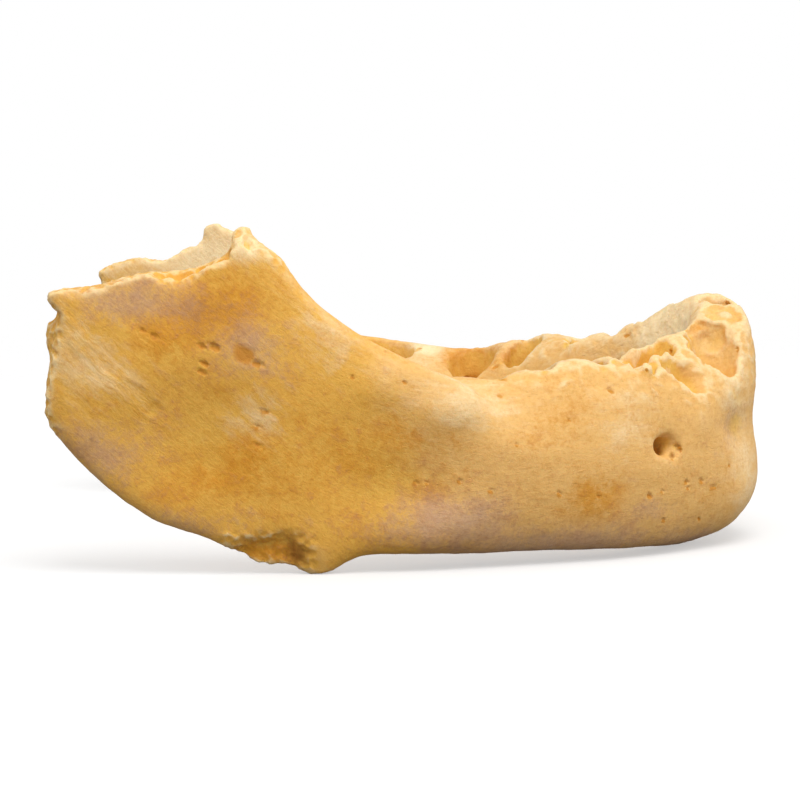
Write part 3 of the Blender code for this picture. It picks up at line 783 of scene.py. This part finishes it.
rows = to_table(skin.places())
pits = PITS + list(scattered_pits(rows))

# %% Finer faces where the detail is
FINER_ROUNDS = 2
PIT_SURROUND = 1.9
PIT_MARGIN = 0.25


def near_pits(rows, reach):
    """Which of the places lie within reach of a pit, in its radii."""
    near = np.zeros(len(rows), bool)
    for pit in pits:
        away = np.linalg.norm(rows - np.array([pit.x, pit.y, pit.z]), axis=1)
        near |= away < pit.radius * pit.long * reach + PIT_MARGIN
    return near


def divide(mesh, wanted):
    """Faces whose corners are all wanted, each cut into four."""
    form = bmesh.new()
    form.from_mesh(mesh)
    edges = [e for e in form.edges if wanted[e.verts[0].index] and wanted[e.verts[1].index]]
    bmesh.ops.subdivide_edges(form, edges=edges, cuts=1, use_grid_fill=True)
    form.to_mesh(mesh)
    form.free()


for _ in range(FINER_ROUNDS):
    rows = to_table(Points(bone.data).places())
    divide(bone.data, near_pits(rows, PIT_SURROUND))
skin = Points(bone.data)
rows = to_table(skin.places())
divide(bone.data, spongy_share(rows, skin.normals()) > 0.5)
skin = Points(bone.data)
print("divided net of", skin.count, "points", clock())

# %% [markdown]
# ## Relief
#
# The skin of the bone isn't smooth. It swells and sinks gently over millimetres, carries fine
# ridges along the grain that are strongest at the rear of the ramus where a muscle held on, and
# turns into a crumbly sponge where it is broken. Each is a noise of its own scale, and each point
# moves along its normal by their sum.

# %% Noises over the points


def noise_over(rows, size, seed):
    """Smooth noise from about -1 to 1 with lumps of `size` mm, one value for each row."""
    shift = Vector((seed * 17.3, seed * 5.1, seed * 9.7))
    return np.array([noise.noise(Vector(row) + shift) for row in rows / size])


def cells_over(rows, size, seed):
    """Distance to the nearest of many scattered points, from 0 to about 1."""
    shift = Vector((seed * 7.9, seed * 3.3, seed * 12.1))
    return np.array([noise.voronoi(Vector(row) + shift)[0][0] for row in rows / size])


# %% Swellings and hollows wide enough to shade
# Each swelling: its middle, its half sizes and how far it moves out, or in where that is below 0
SWELLINGS = [
    (35.3, -8.7, 12.4, 3.4, 4.6, 2.2, -0.50),
    (34.4, -10.2, 16.6, 1.8, 2.6, 3.0, 0.35),
    (36.4, -7.4, 6.0, 2.6, 3.8, 2.4, 0.35),
    (31.0, -13.6, 10.4, 2.4, 3.0, 2.6, -0.30),
    (24.4, -19.0, 17.2, 2.6, 3.0, 2.4, 0.25),
    (20.0, -20.6, 18.4, 2.0, 2.6, 1.4, -0.22),
    (4.0, -28.0, 16.6, 5.0, 3.0, 1.8, 0.35),
    (3.0, -29.0, 8.2, 6.0, 3.0, 3.0, -0.60),
    (-6.0, -31.0, 12.0, 4.0, 3.0, 5.0, -0.45),
    (-19.0, -32.0, 11.0, 6.0, 3.0, 4.0, -0.25),
    (-28.0, -33.4, 19.0, 4.0, 3.0, 2.4, 0.25),
    (35.3, 8.7, 12.4, 3.4, 4.6, 2.2, -0.40),
    (4.0, 28.0, 16.6, 5.0, 3.0, 1.8, 0.30),
    (3.0, 29.0, 8.6, 6.0, 3.0, 2.8, -0.35),
    (-18.0, 32.0, 12.0, 6.0, 3.0, 4.0, -0.25),
]


def eggs_over(eggs, rows):
    """The sum of soft eggs at each place: each is strongest in its middle and fades outwards."""
    total = np.zeros(len(rows))
    for x, y, z, rx, ry, rz, much in eggs:
        offset = (rows - np.array([x, y, z])) / np.array([rx, ry, rz])
        total += much * np.exp(-np.einsum("ij,ij->i", offset, offset))
    return total


# %% The whole relief
rows = to_table(skin.places())
normals = skin.normals()
grain = grain_of(rows)
spongy = skin.mean(spongy_share(rows, normals), rounds=3)
in_socket = skin.mean(socket_share(rows), rounds=3)
whole = (1.0 - spongy) * (1.0 - in_socket)

swell = 0.10 * noise_over(rows, 5.5, 1) + 0.05 * noise_over(rows, 2.3, 2)
wavy = grain + np.array([0.0, 0.5, 0.6]) * noise_over(rows, 2.4, 10)[:, None]
streak = noise_over(wavy * np.array([0.20, 0.9, 1.0]), 0.9, 3)
fine_streak = noise_over(wavy * np.array([0.26, 0.9, 1.0]), 0.5, 4)
muscle = muscle_share(rows)
front_border = rise(-rows[:, 0], -2.0, 4.0) * rise(-np.abs(grain[:, 2] - 5.0), -6.0, -2.0)
ridges = streak * (0.02 + 0.07 * muscle + 0.03 * front_border)
ridges += fine_streak * (0.01 + 0.05 * muscle)
crest = crest_share(rows)
print("relief noises", clock())

crumble = noise_over(rows, 1.1, 6)
grit = noise_over(rows, 0.6, 8)
holes = np.zeros(skin.count)
open_points = np.flatnonzero(spongy + crest + in_socket > 0.02)
holes[open_points] = cells_over(rows[open_points], 0.75, 5) - 0.55
relief = eggs_over(SWELLINGS, rows) + whole * (swell + ridges + 0.02 * crumble + 0.012 * grit)
relief += spongy * (0.28 * holes + 0.16 * crumble) + in_socket * (0.10 * crumble + 0.8 * swell)
relief += crest * (0.05 * crumble + 0.06 * grit + 0.10 * holes)
print(len(open_points), "points on breaks", clock())

# %% The pits pressed in
PIT_DROP = 0.35  # how steeply the length of a pit drops towards the chin, in mm to the mm
PIT_WOBBLE = 0.35
PIT_DEPTH = 0.55
# The colour of a pit is painted shade; a pit this deep gets all of it
FULL_DARK = 0.25  # a pit this deep has the full colour of a pit


def pit_depths(rows, grain):
    """How far each point sinks, and how deep in a pit it is from 0 to 1."""
    sink, inside = np.zeros(len(rows)), np.zeros(len(rows))
    for pit in pits:
        middle = np.array([[pit.x, pit.y, pit.z]])
        away = np.linalg.norm(rows - middle, axis=1)
        close = np.flatnonzero(away < 3.0 * pit.radius * pit.long)
        if len(close) == 0:
            continue
        nearest = close[np.argmin(away[close])]
        offset = grain[close] - grain[nearest]
        offset[:, 2] = rows[close, 2] - rows[nearest, 2] + PIT_DROP * offset[:, 0]
        offset[:, 0] /= pit.long
        distance = np.linalg.norm(offset, axis=1) / pit.radius
        distance += PIT_WOBBLE * noise_over(rows[close] / pit.radius, 0.9, 9)
        depth = 1.0 - rise(distance, 0.1, 1.2)
        sink[close] += PIT_DEPTH * pit.depth * depth
        inside[close] = np.maximum(inside[close], depth * min(1.0, pit.depth / FULL_DARK))
    return sink, inside


sink, _ = pit_depths(rows, grain)
relief -= sink
places = skin.places() + normals * relief[:, None] * MM
skin.set_places(places)
print("relief from", round(relief.min(), 2), "to", round(relief.max(), 2), "mm")

# %% [markdown]
# ## Fewer faces where nothing happens
#
# Half a million faces say no more about a smooth cheek of bone than a tenth of them do. The
# Decimate modifier keeps faces where the surface bends and drops them where it is flat.

# %% Down to the number of triangles that a piece may have
MOST_TRIANGLES = 194000

triangles = sum(len(face.vertices) - 2 for face in bone.data.polygons)
fewer = bone.modifiers.new("Fewer faces", "DECIMATE")
fewer.ratio = min(1.0, MOST_TRIANGLES / triangles)
fewer.use_collapse_triangulate = True
baked(bone)
form = bmesh.new()
form.from_mesh(bone.data)
bmesh.ops.triangulate(form, faces=form.faces)
bmesh.ops.translate(form, vec=(0.0, 0.0, -min(v.co.z for v in form.verts)), verts=form.verts)
print("open edges:", sum(not e.is_manifold for e in form.edges))
print("volume in cubic mm:", round(form.calc_volume() / MM**3, 1))
form.to_mesh(bone.data)
form.free()
print(triangles, "triangles before and", len(bone.data.polygons), "after", clock())

# %% [markdown]
# ## What the material has to know
#
# Hollows and sockets take a yellower colour, partly a stain and partly painted warm bounce light,
# pits take painted shade, and handling wears and pales the ridges. The shader can't see how the
# surface bends over a millimetre, so this is worked out here for each point and kept on the mesh
# as attributes, next to the grain and the large fields of stain and painted light of this one bone.
# The bend is the distance from a point to the mean place of its surroundings, measured along the
# normal.

# %% Bends over a short and a long way


def bend(skin, rounds, reach):
    """How far each point stands out of its surroundings, from -1 to 1 at `reach` mm."""
    gap = (skin.places() - skin.mean(skin.places(), rounds)) / MM
    return np.clip(np.einsum("ij,ij->i", gap, skin.normals()) / reach, -1.0, 1.0)


skin = Points(bone.data)
rows = to_table(skin.places())
normals = skin.normals()
grain = grain_of(rows)
small_bend = skin.mean(bend(skin, rounds=5, reach=0.07), rounds=1)
large_bend = skin.mean(bend(skin, rounds=60, reach=0.5), rounds=4)
# The sockets at the chin are shallower and get less painted warm bounce light than the others
paler = 1.0 - 0.6 * rise(rows[:, 0], 29.5, 32.0) * rise(rows[:, 2], 13.0, 15.0)
worn = np.clip(small_bend, 0.0, 1.0)
# Concave places: a yellower colour that is partly stain and partly painted warm bounce light
hollow_stain_and_bounce = np.clip(-0.4 * small_bend - 0.9 * large_bend, 0.0, 1.0) * paler
broken = skin.mean(spongy_share(rows, normals), rounds=2)
body = rise(rows[:, 0] + 0.35 * (rows[:, 2] - 12.0), -7.0, 9.0)
crest = crest_share(rows)
muscle = muscle_share(rows)
# Sockets: the same yellower colour, partly stain and partly painted warm bounce light
in_socket = skin.mean(socket_share(rows), rounds=2) * paler
# How deep in a pit each point is, which sets the painted shade in the pits
_, pit_shade_depth = pit_depths(rows, grain)
print("bends", clock())

# %% [markdown]
# ## The stains and painted light of this bone
#
# The ground stained this bone in a few large fields: orange low on the ramus and under its top,
# a pink-grey bloom between them, brown at the top of the ramus and cream in places. Other fields
# are painted light: pink-grey and brown along the lower border, at the rear and in the hollow above
# the chin, orange and brown on the slope below the bulge and brown in the holes and deepest places
# are painted shade, and cream on the bulge of the body, the chin and the inner wall behind the
# front sockets is painted highlight. Each field is a few soft eggs, each with the name of its stain
# or painted light, a place, its half sizes and a strength. The shader breaks up their edges with
# noise. Painting them by hand would be freer, and would need an image.

# %% Stain and painted light fields
# Each stain or painted light: its middle, its half sizes and its strength
STAINS_AND_PAINTED_LIGHT = {
    "orange_and_painted_shade": [
        (-18.4, -31.5, 10.6, 5.4, 5.0, 3.8, 1.0),
        (-18.6, -32.5, 26.0, 6.0, 4.0, 3.4, 0.9),
        (-22.6, -32.5, 24.0, 5.0, 4.0, 2.4, 0.6),
        (-2.0, -30.0, 13.0, 4.0, 4.0, 4.0, 0.35),
        (7.6, 22.0, 16.8, 4.0, 4.0, 3.0, 1.0),
        (13.6, 19.6, 17.4, 3.0, 3.0, 2.4, 0.8),
        # painted shade on the slope below the bulge
        (2.0, -29.0, 8.2, 4.5, 4.0, 2.6, 0.5),
        (15.0, -24.5, 5.6, 3.4, 4.0, 1.8, 0.3),
        (31.6, -4.0, 22.3, 1.3, 1.4, 1.3, 0.8),
        (-8.0, -31.0, 10.0, 5.0, 5.0, 6.0, 0.35),
        (19.8, -22.6, 7.0, 4.0, 5.0, 2.4, 0.65),
        (31.5, -13.0, 4.8, 3.0, 4.5, 1.8, 0.4),
        (4.0, -28.4, 13.4, 3.0, 4.0, 2.6, 0.45),
        (14.0, -24.0, 14.4, 7.0, 4.0, 2.6, 0.3),
        (-13.6, -28.9, 2.4, 3.6, 1.1, 1.4, 1.0),
        (-19.0, -31.8, 19.6, 4.0, 4.0, 2.4, 0.4),
        (-19.0, 31.5, 12.0, 9.0, 5.0, 6.0, 0.8),
        (20.0, 20.0, 8.0, 8.0, 7.0, 3.6, 0.6),
        (-8.0, 25.0, 14.0, 8.0, 5.0, 5.0, 0.5),
        (10.0, -19.0, 8.0, 9.0, 4.0, 4.0, 0.5),
    ],
    # Cream tone; the rows on the bulge of the body (first row) and the chin, and the strong one on
    # the inner wall behind the front sockets, are painted highlight
    "cream_and_painted_highlight": [
        (8.0, -27.6, 16.4, 8.0, 5.0, 3.0, 0.8),
        (23.0, -20.0, 14.6, 5.0, 5.0, 4.6, 0.6),
        (36.0, -7.0, 7.4, 4.0, 5.0, 5.0, 0.8),
        (35.0, -8.6, 16.0, 3.0, 4.0, 4.0, 0.55),
        (-7.0, -30.6, 24.6, 4.0, 4.0, 5.0, 0.6),
        (5.0, -26.4, 19.6, 5.0, 3.0, 1.8, 0.4),
        (-30.0, -33.0, 21.0, 5.0, 4.0, 3.8, 0.75),
        (-14.4, -31.6, 15.6, 3.4, 4.0, 3.2, 0.65),
        (14.0, 22.0, 17.0, 14.0, 6.0, 4.0, 0.6),
        (2.6, 24.0, 17.0, 3.0, 3.0, 3.0, 0.9),
        (33.0, 9.0, 22.0, 5.0, 8.0, 5.0, 0.7),
        (16.0, 17.0, 21.0, 16.0, 10.0, 3.0, 0.5),
        (28.0, 3.0, 21.0, 7.0, 7.0, 5.0, 1.2),
        (-22.0, 29.0, 28.0, 15.0, 2.6, 8.0, 1.0),
        (-15.0, -31.0, 32.6, 2.6, 3.0, 2.6, 1.0),
        (33.0, -6.0, 20.0, 4.0, 4.0, 4.0, 0.5),
        (-9.0, 27.6, 24.0, 6.0, 4.0, 6.0, 0.6),
    ],
    # Pink-grey bloom on the ramus; the rows low on the bone, at the rear and in the hollow above the
    # chin are painted shade
    "mauve_and_painted_shade": [
        (-26.0, -33.0, 27.2, 6.6, 4.0, 2.4, 0.9),
        (-14.6, -32.0, 22.6, 4.6, 4.0, 3.4, 0.8),
        (-30.6, -32.6, 12.0, 6.0, 4.0, 3.6, 0.8),
        (-22.0, -31.6, 4.6, 6.0, 4.0, 1.8, 0.6),
        (5.0, -28.4, 5.0, 7.0, 5.0, 2.8, 1.1),
        (16.0, -22.0, 1.2, 14.0, 6.0, 2.3, 1.2),
        (30.0, -10.0, 0.8, 6.0, 8.0, 1.4, 0.9),
        (26.0, -19.4, 5.0, 3.0, 4.0, 1.6, 0.5),
        (35.3, -9.0, 12.6, 2.6, 3.4, 2.6, 1.0),
        (-26.0, 32.6, 24.0, 8.0, 4.0, 4.0, 0.8),
        (10.0, 24.0, 3.0, 16.0, 8.0, 2.6, 0.8),
    ],
    # Brown stain at the top of the ramus (first row); the other rows are painted shade in holes,
    # canals and the crypt, on the slope below the bulge, along the lower border, at the rear and in
    # the hollow above the chin
    "brown_and_painted_shade": [
        (-18.6, -32.6, 26.2, 6.5, 3.0, 2.6, 0.5),
        (-31.5, -32.6, 12.4, 4.0, 4.0, 3.0, 0.42),
        (3.0, -29.0, 8.0, 5.0, 4.0, 3.0, 0.42),
        (7.0, -28.0, 2.0, 6.0, 5.0, 1.8, 0.5),
        (20.0, -22.0, 0.4, 14.0, 8.0, 1.3, 0.42),
        (35.3, -9.2, 12.6, 2.4, 3.2, 2.8, 0.54),
        (-2.0, -29.0, 3.2, 5.0, 5.0, 2.2, 0.4),
        (28.75, -16.7, 11.1, 0.45, 0.7, 0.5, 1.0),
        (28.05, -17.0, 10.3, 0.35, 0.7, 0.4, 1.0),
        (27.75, -16.8, 11.4, 0.3, 0.5, 0.3, 0.8),
        (-10.2, -29.0, 2.2, 1.6, 1.2, 2.0, 1.0),
        (26.2, -16.4, 11.0, 1.2, 1.2, 1.2, 1.0),
        (28.5, -14.4, 11.2, 0.9, 0.9, 1.2, 1.0),
        (26.4, 16.6, 10.7, 1.3, 1.2, 1.1, 1.0),
        (-1.0, -23.6, 20.4, 3.6, 3.4, 2.2, 0.7),
        (-19.0, -29.0, 16.6, 1.4, 1.2, 1.8, 1.0),
        (-19.3, 29.0, 16.4, 1.4, 1.2, 1.8, 1.0),
    ],
}
stains_and_painted_light = [np.clip(eggs_over(eggs, rows), 0.0, 1.0) for eggs in STAINS_AND_PAINTED_LIGHT.values()]
print("mean stains:", dict(zip(STAINS_AND_PAINTED_LIGHT, [round(float(s.mean()), 2) for s in stains_and_painted_light])))

# %% Attributes on the mesh


def keep(mesh, name, kind, values):
    """The values as a named attribute of the points."""
    attribute = mesh.attributes.new(name, kind, "POINT")
    field = "vector" if kind == "FLOAT_VECTOR" else "color"
    attribute.data.foreach_set(field, np.ascontiguousarray(values, np.float32).ravel())


keep(bone.data, "grain", "FLOAT_VECTOR", grain)
keep(bone.data, "stains_and_painted_light", "FLOAT_COLOR", np.stack(stains_and_painted_light, axis=1))
keep(bone.data, "wear_and_painted_light", "FLOAT_COLOR", np.stack([worn, hollow_stain_and_bounce, broken, pit_shade_depth], axis=1))
keep(bone.data, "marks", "FLOAT_COLOR", np.stack([muscle, crest, in_socket, body], axis=1))
print("attributes:", [attribute.name for attribute in bone.data.attributes])

# %% [markdown]
# ## Floor
#
# The bone lies on a plain white sheet, which fades into the white surrounding so that no edge of
# it shows behind the bone. It is white where the camera sees it and throws less light up under
# the bone than real paper would, so that the lower border stays in shade, as in a studio where
# the table is further from the lamp than the object is. It is part of the stage, not of the bone.

# %% The white sheet
SHEET_RADIUS = 0.5
SHEET_FADE = (0.10, 0.30)  # where the sheet starts and ends to fade, in metres from its middle
SHEET_SOLID = 0.55
SHEET_SEEN = (0.93, 0.93, 0.93, 1.0)
SHEET_THROWN = (0.30, 0.29, 0.28, 1.0)

sheet_form = bmesh.new()
bmesh.ops.create_circle(sheet_form, cap_ends=True, segments=96, radius=SHEET_RADIUS)
sheet = new_item("white_sheet", sheet_form)
sheet_material = bpy.data.materials.new("white_paper")
sheet_material.use_nodes = True
Signal.tree = sheet_material.node_tree
paper = sheet_material.node_tree.nodes["Principled BSDF"]
paper.inputs["Roughness"].default_value = 0.9
spot = Signal.of("ShaderNodeTexCoord", out=3)
away = Signal.of("ShaderNodeVectorMath", {"operation": "LENGTH"}, {0: spot}, out=1)
fade = SHEET_SOLID - SHEET_SOLID * away.ramp(*SHEET_FADE)
tint = mixed(SHEET_THROWN, SHEET_SEEN, Signal.of("ShaderNodeLightPath"))
sheet_material.node_tree.links.new(tint.socket, paper.inputs["Base Color"])
sheet_material.node_tree.links.new(fade.socket, paper.inputs["Alpha"])
sheet.data.materials.append(sheet_material)

# %% [markdown]
# ## Dry bone
#
# Close up the bone is golden ochre on the ramus and a warm peach on the body, with three things on
# it: fields of orange stain, a dusty pink bloom, and cream. Part of each is painted light: orange
# on the slope below the bulge and pink-grey low on the bone and in the hollow above the chin are
# painted shade, and cream and pale on the bulge, the chin and the inner wall behind the front
# sockets are painted highlight. Hollows and sockets are deeper and yellower, partly from stain and
# partly as painted warm bounce light, brown is a stain on the ramus top and painted shade in holes
# and low places, thin broken edges are pale, and pits take painted dark orange shade. The colour
# is mixed in that order, each layer let through by one of the attributes with noise added, so that
# no layer ends in a clean line. A dark fleck on bone is more orange than its ground, so the flecks
# take out more blue than red.

# %% Patterns of the bone
dry_bone = bpy.data.materials.new("dry_bone")
dry_bone.use_nodes = True
tree = dry_bone.node_tree
Signal.tree = tree
shader = tree.nodes["Principled BSDF"]
MM_IN_METRE = 1.0 / MM


def scaled(vector, factors):
    """A vector with each of its three numbers multiplied."""
    values = {0: vector, 1: factors}
    return Signal.of("ShaderNodeVectorMath", {"operation": "MULTIPLY"}, values)


def noisy(vector, scale, detail=4.0, rough=0.55):
    """Noise about 0, mostly from -0.5 to 0.5, with `scale` lumps to the millimetre."""
    values = {"Vector": vector, "Scale": scale, "Detail": detail, "Roughness": rough}
    return 1.6 * Signal.of("ShaderNodeTexNoise", None, values) - 0.8


def attribute(name, out):
    """One output of an attribute of the mesh."""
    return Signal.of("ShaderNodeAttribute", {"attribute_name": name}, None, out)


def parts(colour):
    """The three numbers of a colour."""
    node = Signal.of("ShaderNodeSeparateColor", None, {0: colour}).socket.node
    return [Signal(socket) for socket in node.outputs]


spot = scaled(Signal.of("ShaderNodeTexCoord", out=3), (MM_IN_METRE, MM_IN_METRE, MM_IN_METRE))
wave = 0.8 * noisy(spot, 0.45, 2.0)
sideways = Signal.of("ShaderNodeCombineXYZ", None, {1: wave, 2: wave})
straight = {0: attribute("grain", 1), 1: sideways}
run = Signal.of("ShaderNodeVectorMath", {"operation": "ADD"}, straight)
streaky = scaled(run, (0.26, 1.0, 1.0))
orange_and_shade_field, cream_and_highlight_field, mauve_and_shade_field = parts(attribute("stains_and_painted_light", 0))
brown_and_shade_field = attribute("stains_and_painted_light", 3)
worn_share, hollow_stain_and_bounce_share, broken_part = parts(attribute("wear_and_painted_light", 0))
pit_shade_share = attribute("wear_and_painted_light", 3)
muscle_part, crest_part, socket_part = parts(attribute("marks", 0))
body_share = attribute("marks", 3)

cloud = noisy(spot, 0.14, 3.0)
patch = noisy(spot, 0.42, 6.0, 0.62)
mottle = noisy(spot, 1.0, 6.0, 0.68)
dust = noisy(spot, 2.6, 5.0, 0.75)
streak_wide = noisy(streaky, 0.8, 5.0, 0.62)
streak_fine = noisy(streaky, 3.0, 5.0, 0.7)
furrow = noisy(scaled(run, (0.18, 1.0, 1.0)), 1.3, 4.0, 0.6)

# %% Colour of the bone
# The orange, mauve and brown colours also serve as painted shade, the cream and pale ones as painted
# highlight, the hollow colour as painted warm bounce light and the pit colour as painted shade
OCHRE = (0.79, 0.43, 0.070, 1.0)
BROWN_AND_SHADE = (0.34, 0.13, 0.012, 1.0)
PALE_AND_HIGHLIGHT = (0.95, 0.76, 0.46, 1.0)
PEACH = (0.80, 0.47, 0.15, 1.0)
CREAM_AND_HIGHLIGHT = (0.87, 0.645, 0.35, 1.0)
ORANGE_AND_SHADE = (0.69, 0.29, 0.012, 1.0)
MAUVE_AND_SHADE = (0.575, 0.36, 0.25, 1.0)
HOLLOW_STAIN_AND_BOUNCE = (0.84, 0.52, 0.10, 1.0)
RIM = (0.90, 0.72, 0.42, 1.0)
PIT_SHADE = (0.60, 0.25, 0.02, 1.0)
FLECK = (0.80, 0.62, 0.34, 1.0)

ground = body_share + 0.6 * patch
colour = mixed(OCHRE, PEACH, ground.ramp(0.1, 0.9))
# Cream, which on the bulge of the body and the chin is painted highlight
cream_and_highlight_share = cream_and_highlight_field + 0.7 * patch + 0.6 * mottle + 0.9 * streak_wide
colour = mixed(colour, CREAM_AND_HIGHLIGHT, 0.85 * cream_and_highlight_share.ramp(0.15, 1.0))
# Orange stain, which on the slope below the bulge is painted shade
stained_and_shaded = orange_and_shade_field + 0.9 * cloud + 0.9 * patch + 0.7 * mottle + 0.4 * dust
colour = mixed(colour, ORANGE_AND_SHADE, 0.85 * stained_and_shaded.ramp(0.05, 0.95))
# Pink-grey bloom, which low on the bone and in the hollow above the chin is painted shade
bloom_and_shade = mauve_and_shade_field - 0.8 * cream_and_highlight_field + 0.8 * patch + 0.7 * mottle + 0.9 * dust
colour = mixed(colour, MAUVE_AND_SHADE, 0.75 * bloom_and_shade.ramp(0.0, 1.15))
# Pale where the cream fields are strongest: painted highlight on the inner wall behind the front
# sockets, the bulge and the chin
colour = mixed(colour, PALE_AND_HIGHLIGHT, 0.85 * (cream_and_highlight_field + 0.1 * mottle).ramp(0.75, 1.0))
# Yellower in hollows: partly stain, partly painted warm bounce light
colour = mixed(colour, HOLLOW_STAIN_AND_BOUNCE, 0.7 * hollow_stain_and_bounce_share.ramp(0.10, 0.8))
# Brown: a stain at the top of the ramus, elsewhere painted shade in holes and low places
colour = mixed(colour, BROWN_AND_SHADE, 0.85 * (brown_and_shade_field + 0.3 * mottle).ramp(0.25, 0.95))
# Yellower in sockets: partly stain, partly painted warm bounce light
socket_stain_and_bounce = socket_part * (1.0 - worn_share) * (1.0 - 0.6 * orange_and_shade_field) + 0.4 * patch
colour = mixed(colour, HOLLOW_STAIN_AND_BOUNCE, 0.8 * socket_stain_and_bounce.ramp(0.15, 0.8))
thin_edge = worn_share * (0.35 + 0.65 * broken_part) + 0.5 * crest_part * (mottle + worn_share)
thin_edge = thin_edge * (1.0 - 0.9 * brown_and_shade_field) * (1.0 - 0.6 * orange_and_shade_field)
colour = mixed(colour, RIM, 0.65 * thin_edge.ramp(0.15, 0.8))
# Dark orange in pits: painted shade
colour = mixed(colour, PIT_SHADE, 0.9 * pit_shade_share.ramp(0.0, 0.7))
ridge_light = muscle_part * furrow.ramp(-0.1, 0.35)
colour = mixed(colour, CREAM_AND_HIGHLIGHT, 0.32 * ridge_light)
flecks = 0.55 * streak_fine + 0.6 * mottle + 0.7 * dust + 0.5 * muscle_part * (0.0 - furrow)
colour = mixed(colour, FLECK, 0.7 * flecks.ramp(-0.25, 0.55), "MULTIPLY")
tree.links.new(colour.socket, shader.inputs["Base Color"])

# %% Pores, grain and sheen
BUMP_HEIGHT = 0.00016
BUMP_STRENGTH = 0.58
GLOW_UNDER = 0.14
GLOW_REACH = 0.0012
GLOW_SHARES = (1.0, 0.5, 0.2)
SHEEN = 0.3

pore_values = {"Vector": scaled(run, (0.8, 1.0, 1.0)), "Scale": 1.8}
pore_cells = Signal.of("ShaderNodeTexVoronoi", None, pore_values)
pore_zone = (noisy(spot, 0.35, 2.0) + 0.8 * crest_part).ramp(0.05, 0.35)
pores = (1.0 - pore_cells.ramp(0.05, 0.22)) * pore_zone
height = 0.45 * streak_fine + 0.5 * dust + 0.45 * mottle + 0.25 * streak_wide - 0.5 * pores
height = height + 0.7 * muscle_part * furrow
bump_values = {"Height": height, "Strength": BUMP_STRENGTH, "Distance": BUMP_HEIGHT}
bump = Signal.of("ShaderNodeBump", None, bump_values)
tree.links.new(bump.socket, shader.inputs["Normal"])
rough = 0.58 - 0.10 * worn_share + 0.2 * dust + 0.1 * broken_part
tree.links.new(rough.socket, shader.inputs["Roughness"])
shader.inputs["Subsurface Weight"].default_value = GLOW_UNDER
shader.inputs["Subsurface Radius"].default_value = GLOW_SHARES
shader.inputs["Subsurface Scale"].default_value = GLOW_REACH
shader.inputs["Specular IOR Level"].default_value = SHEEN

bone.data.materials.clear()
bone.data.materials.append(dry_bone)
bone.data.shade_smooth()
print("bone material of", len(tree.nodes), "nodes")

# %% The bone in the frame
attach(bone, "root")
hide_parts("mandible")
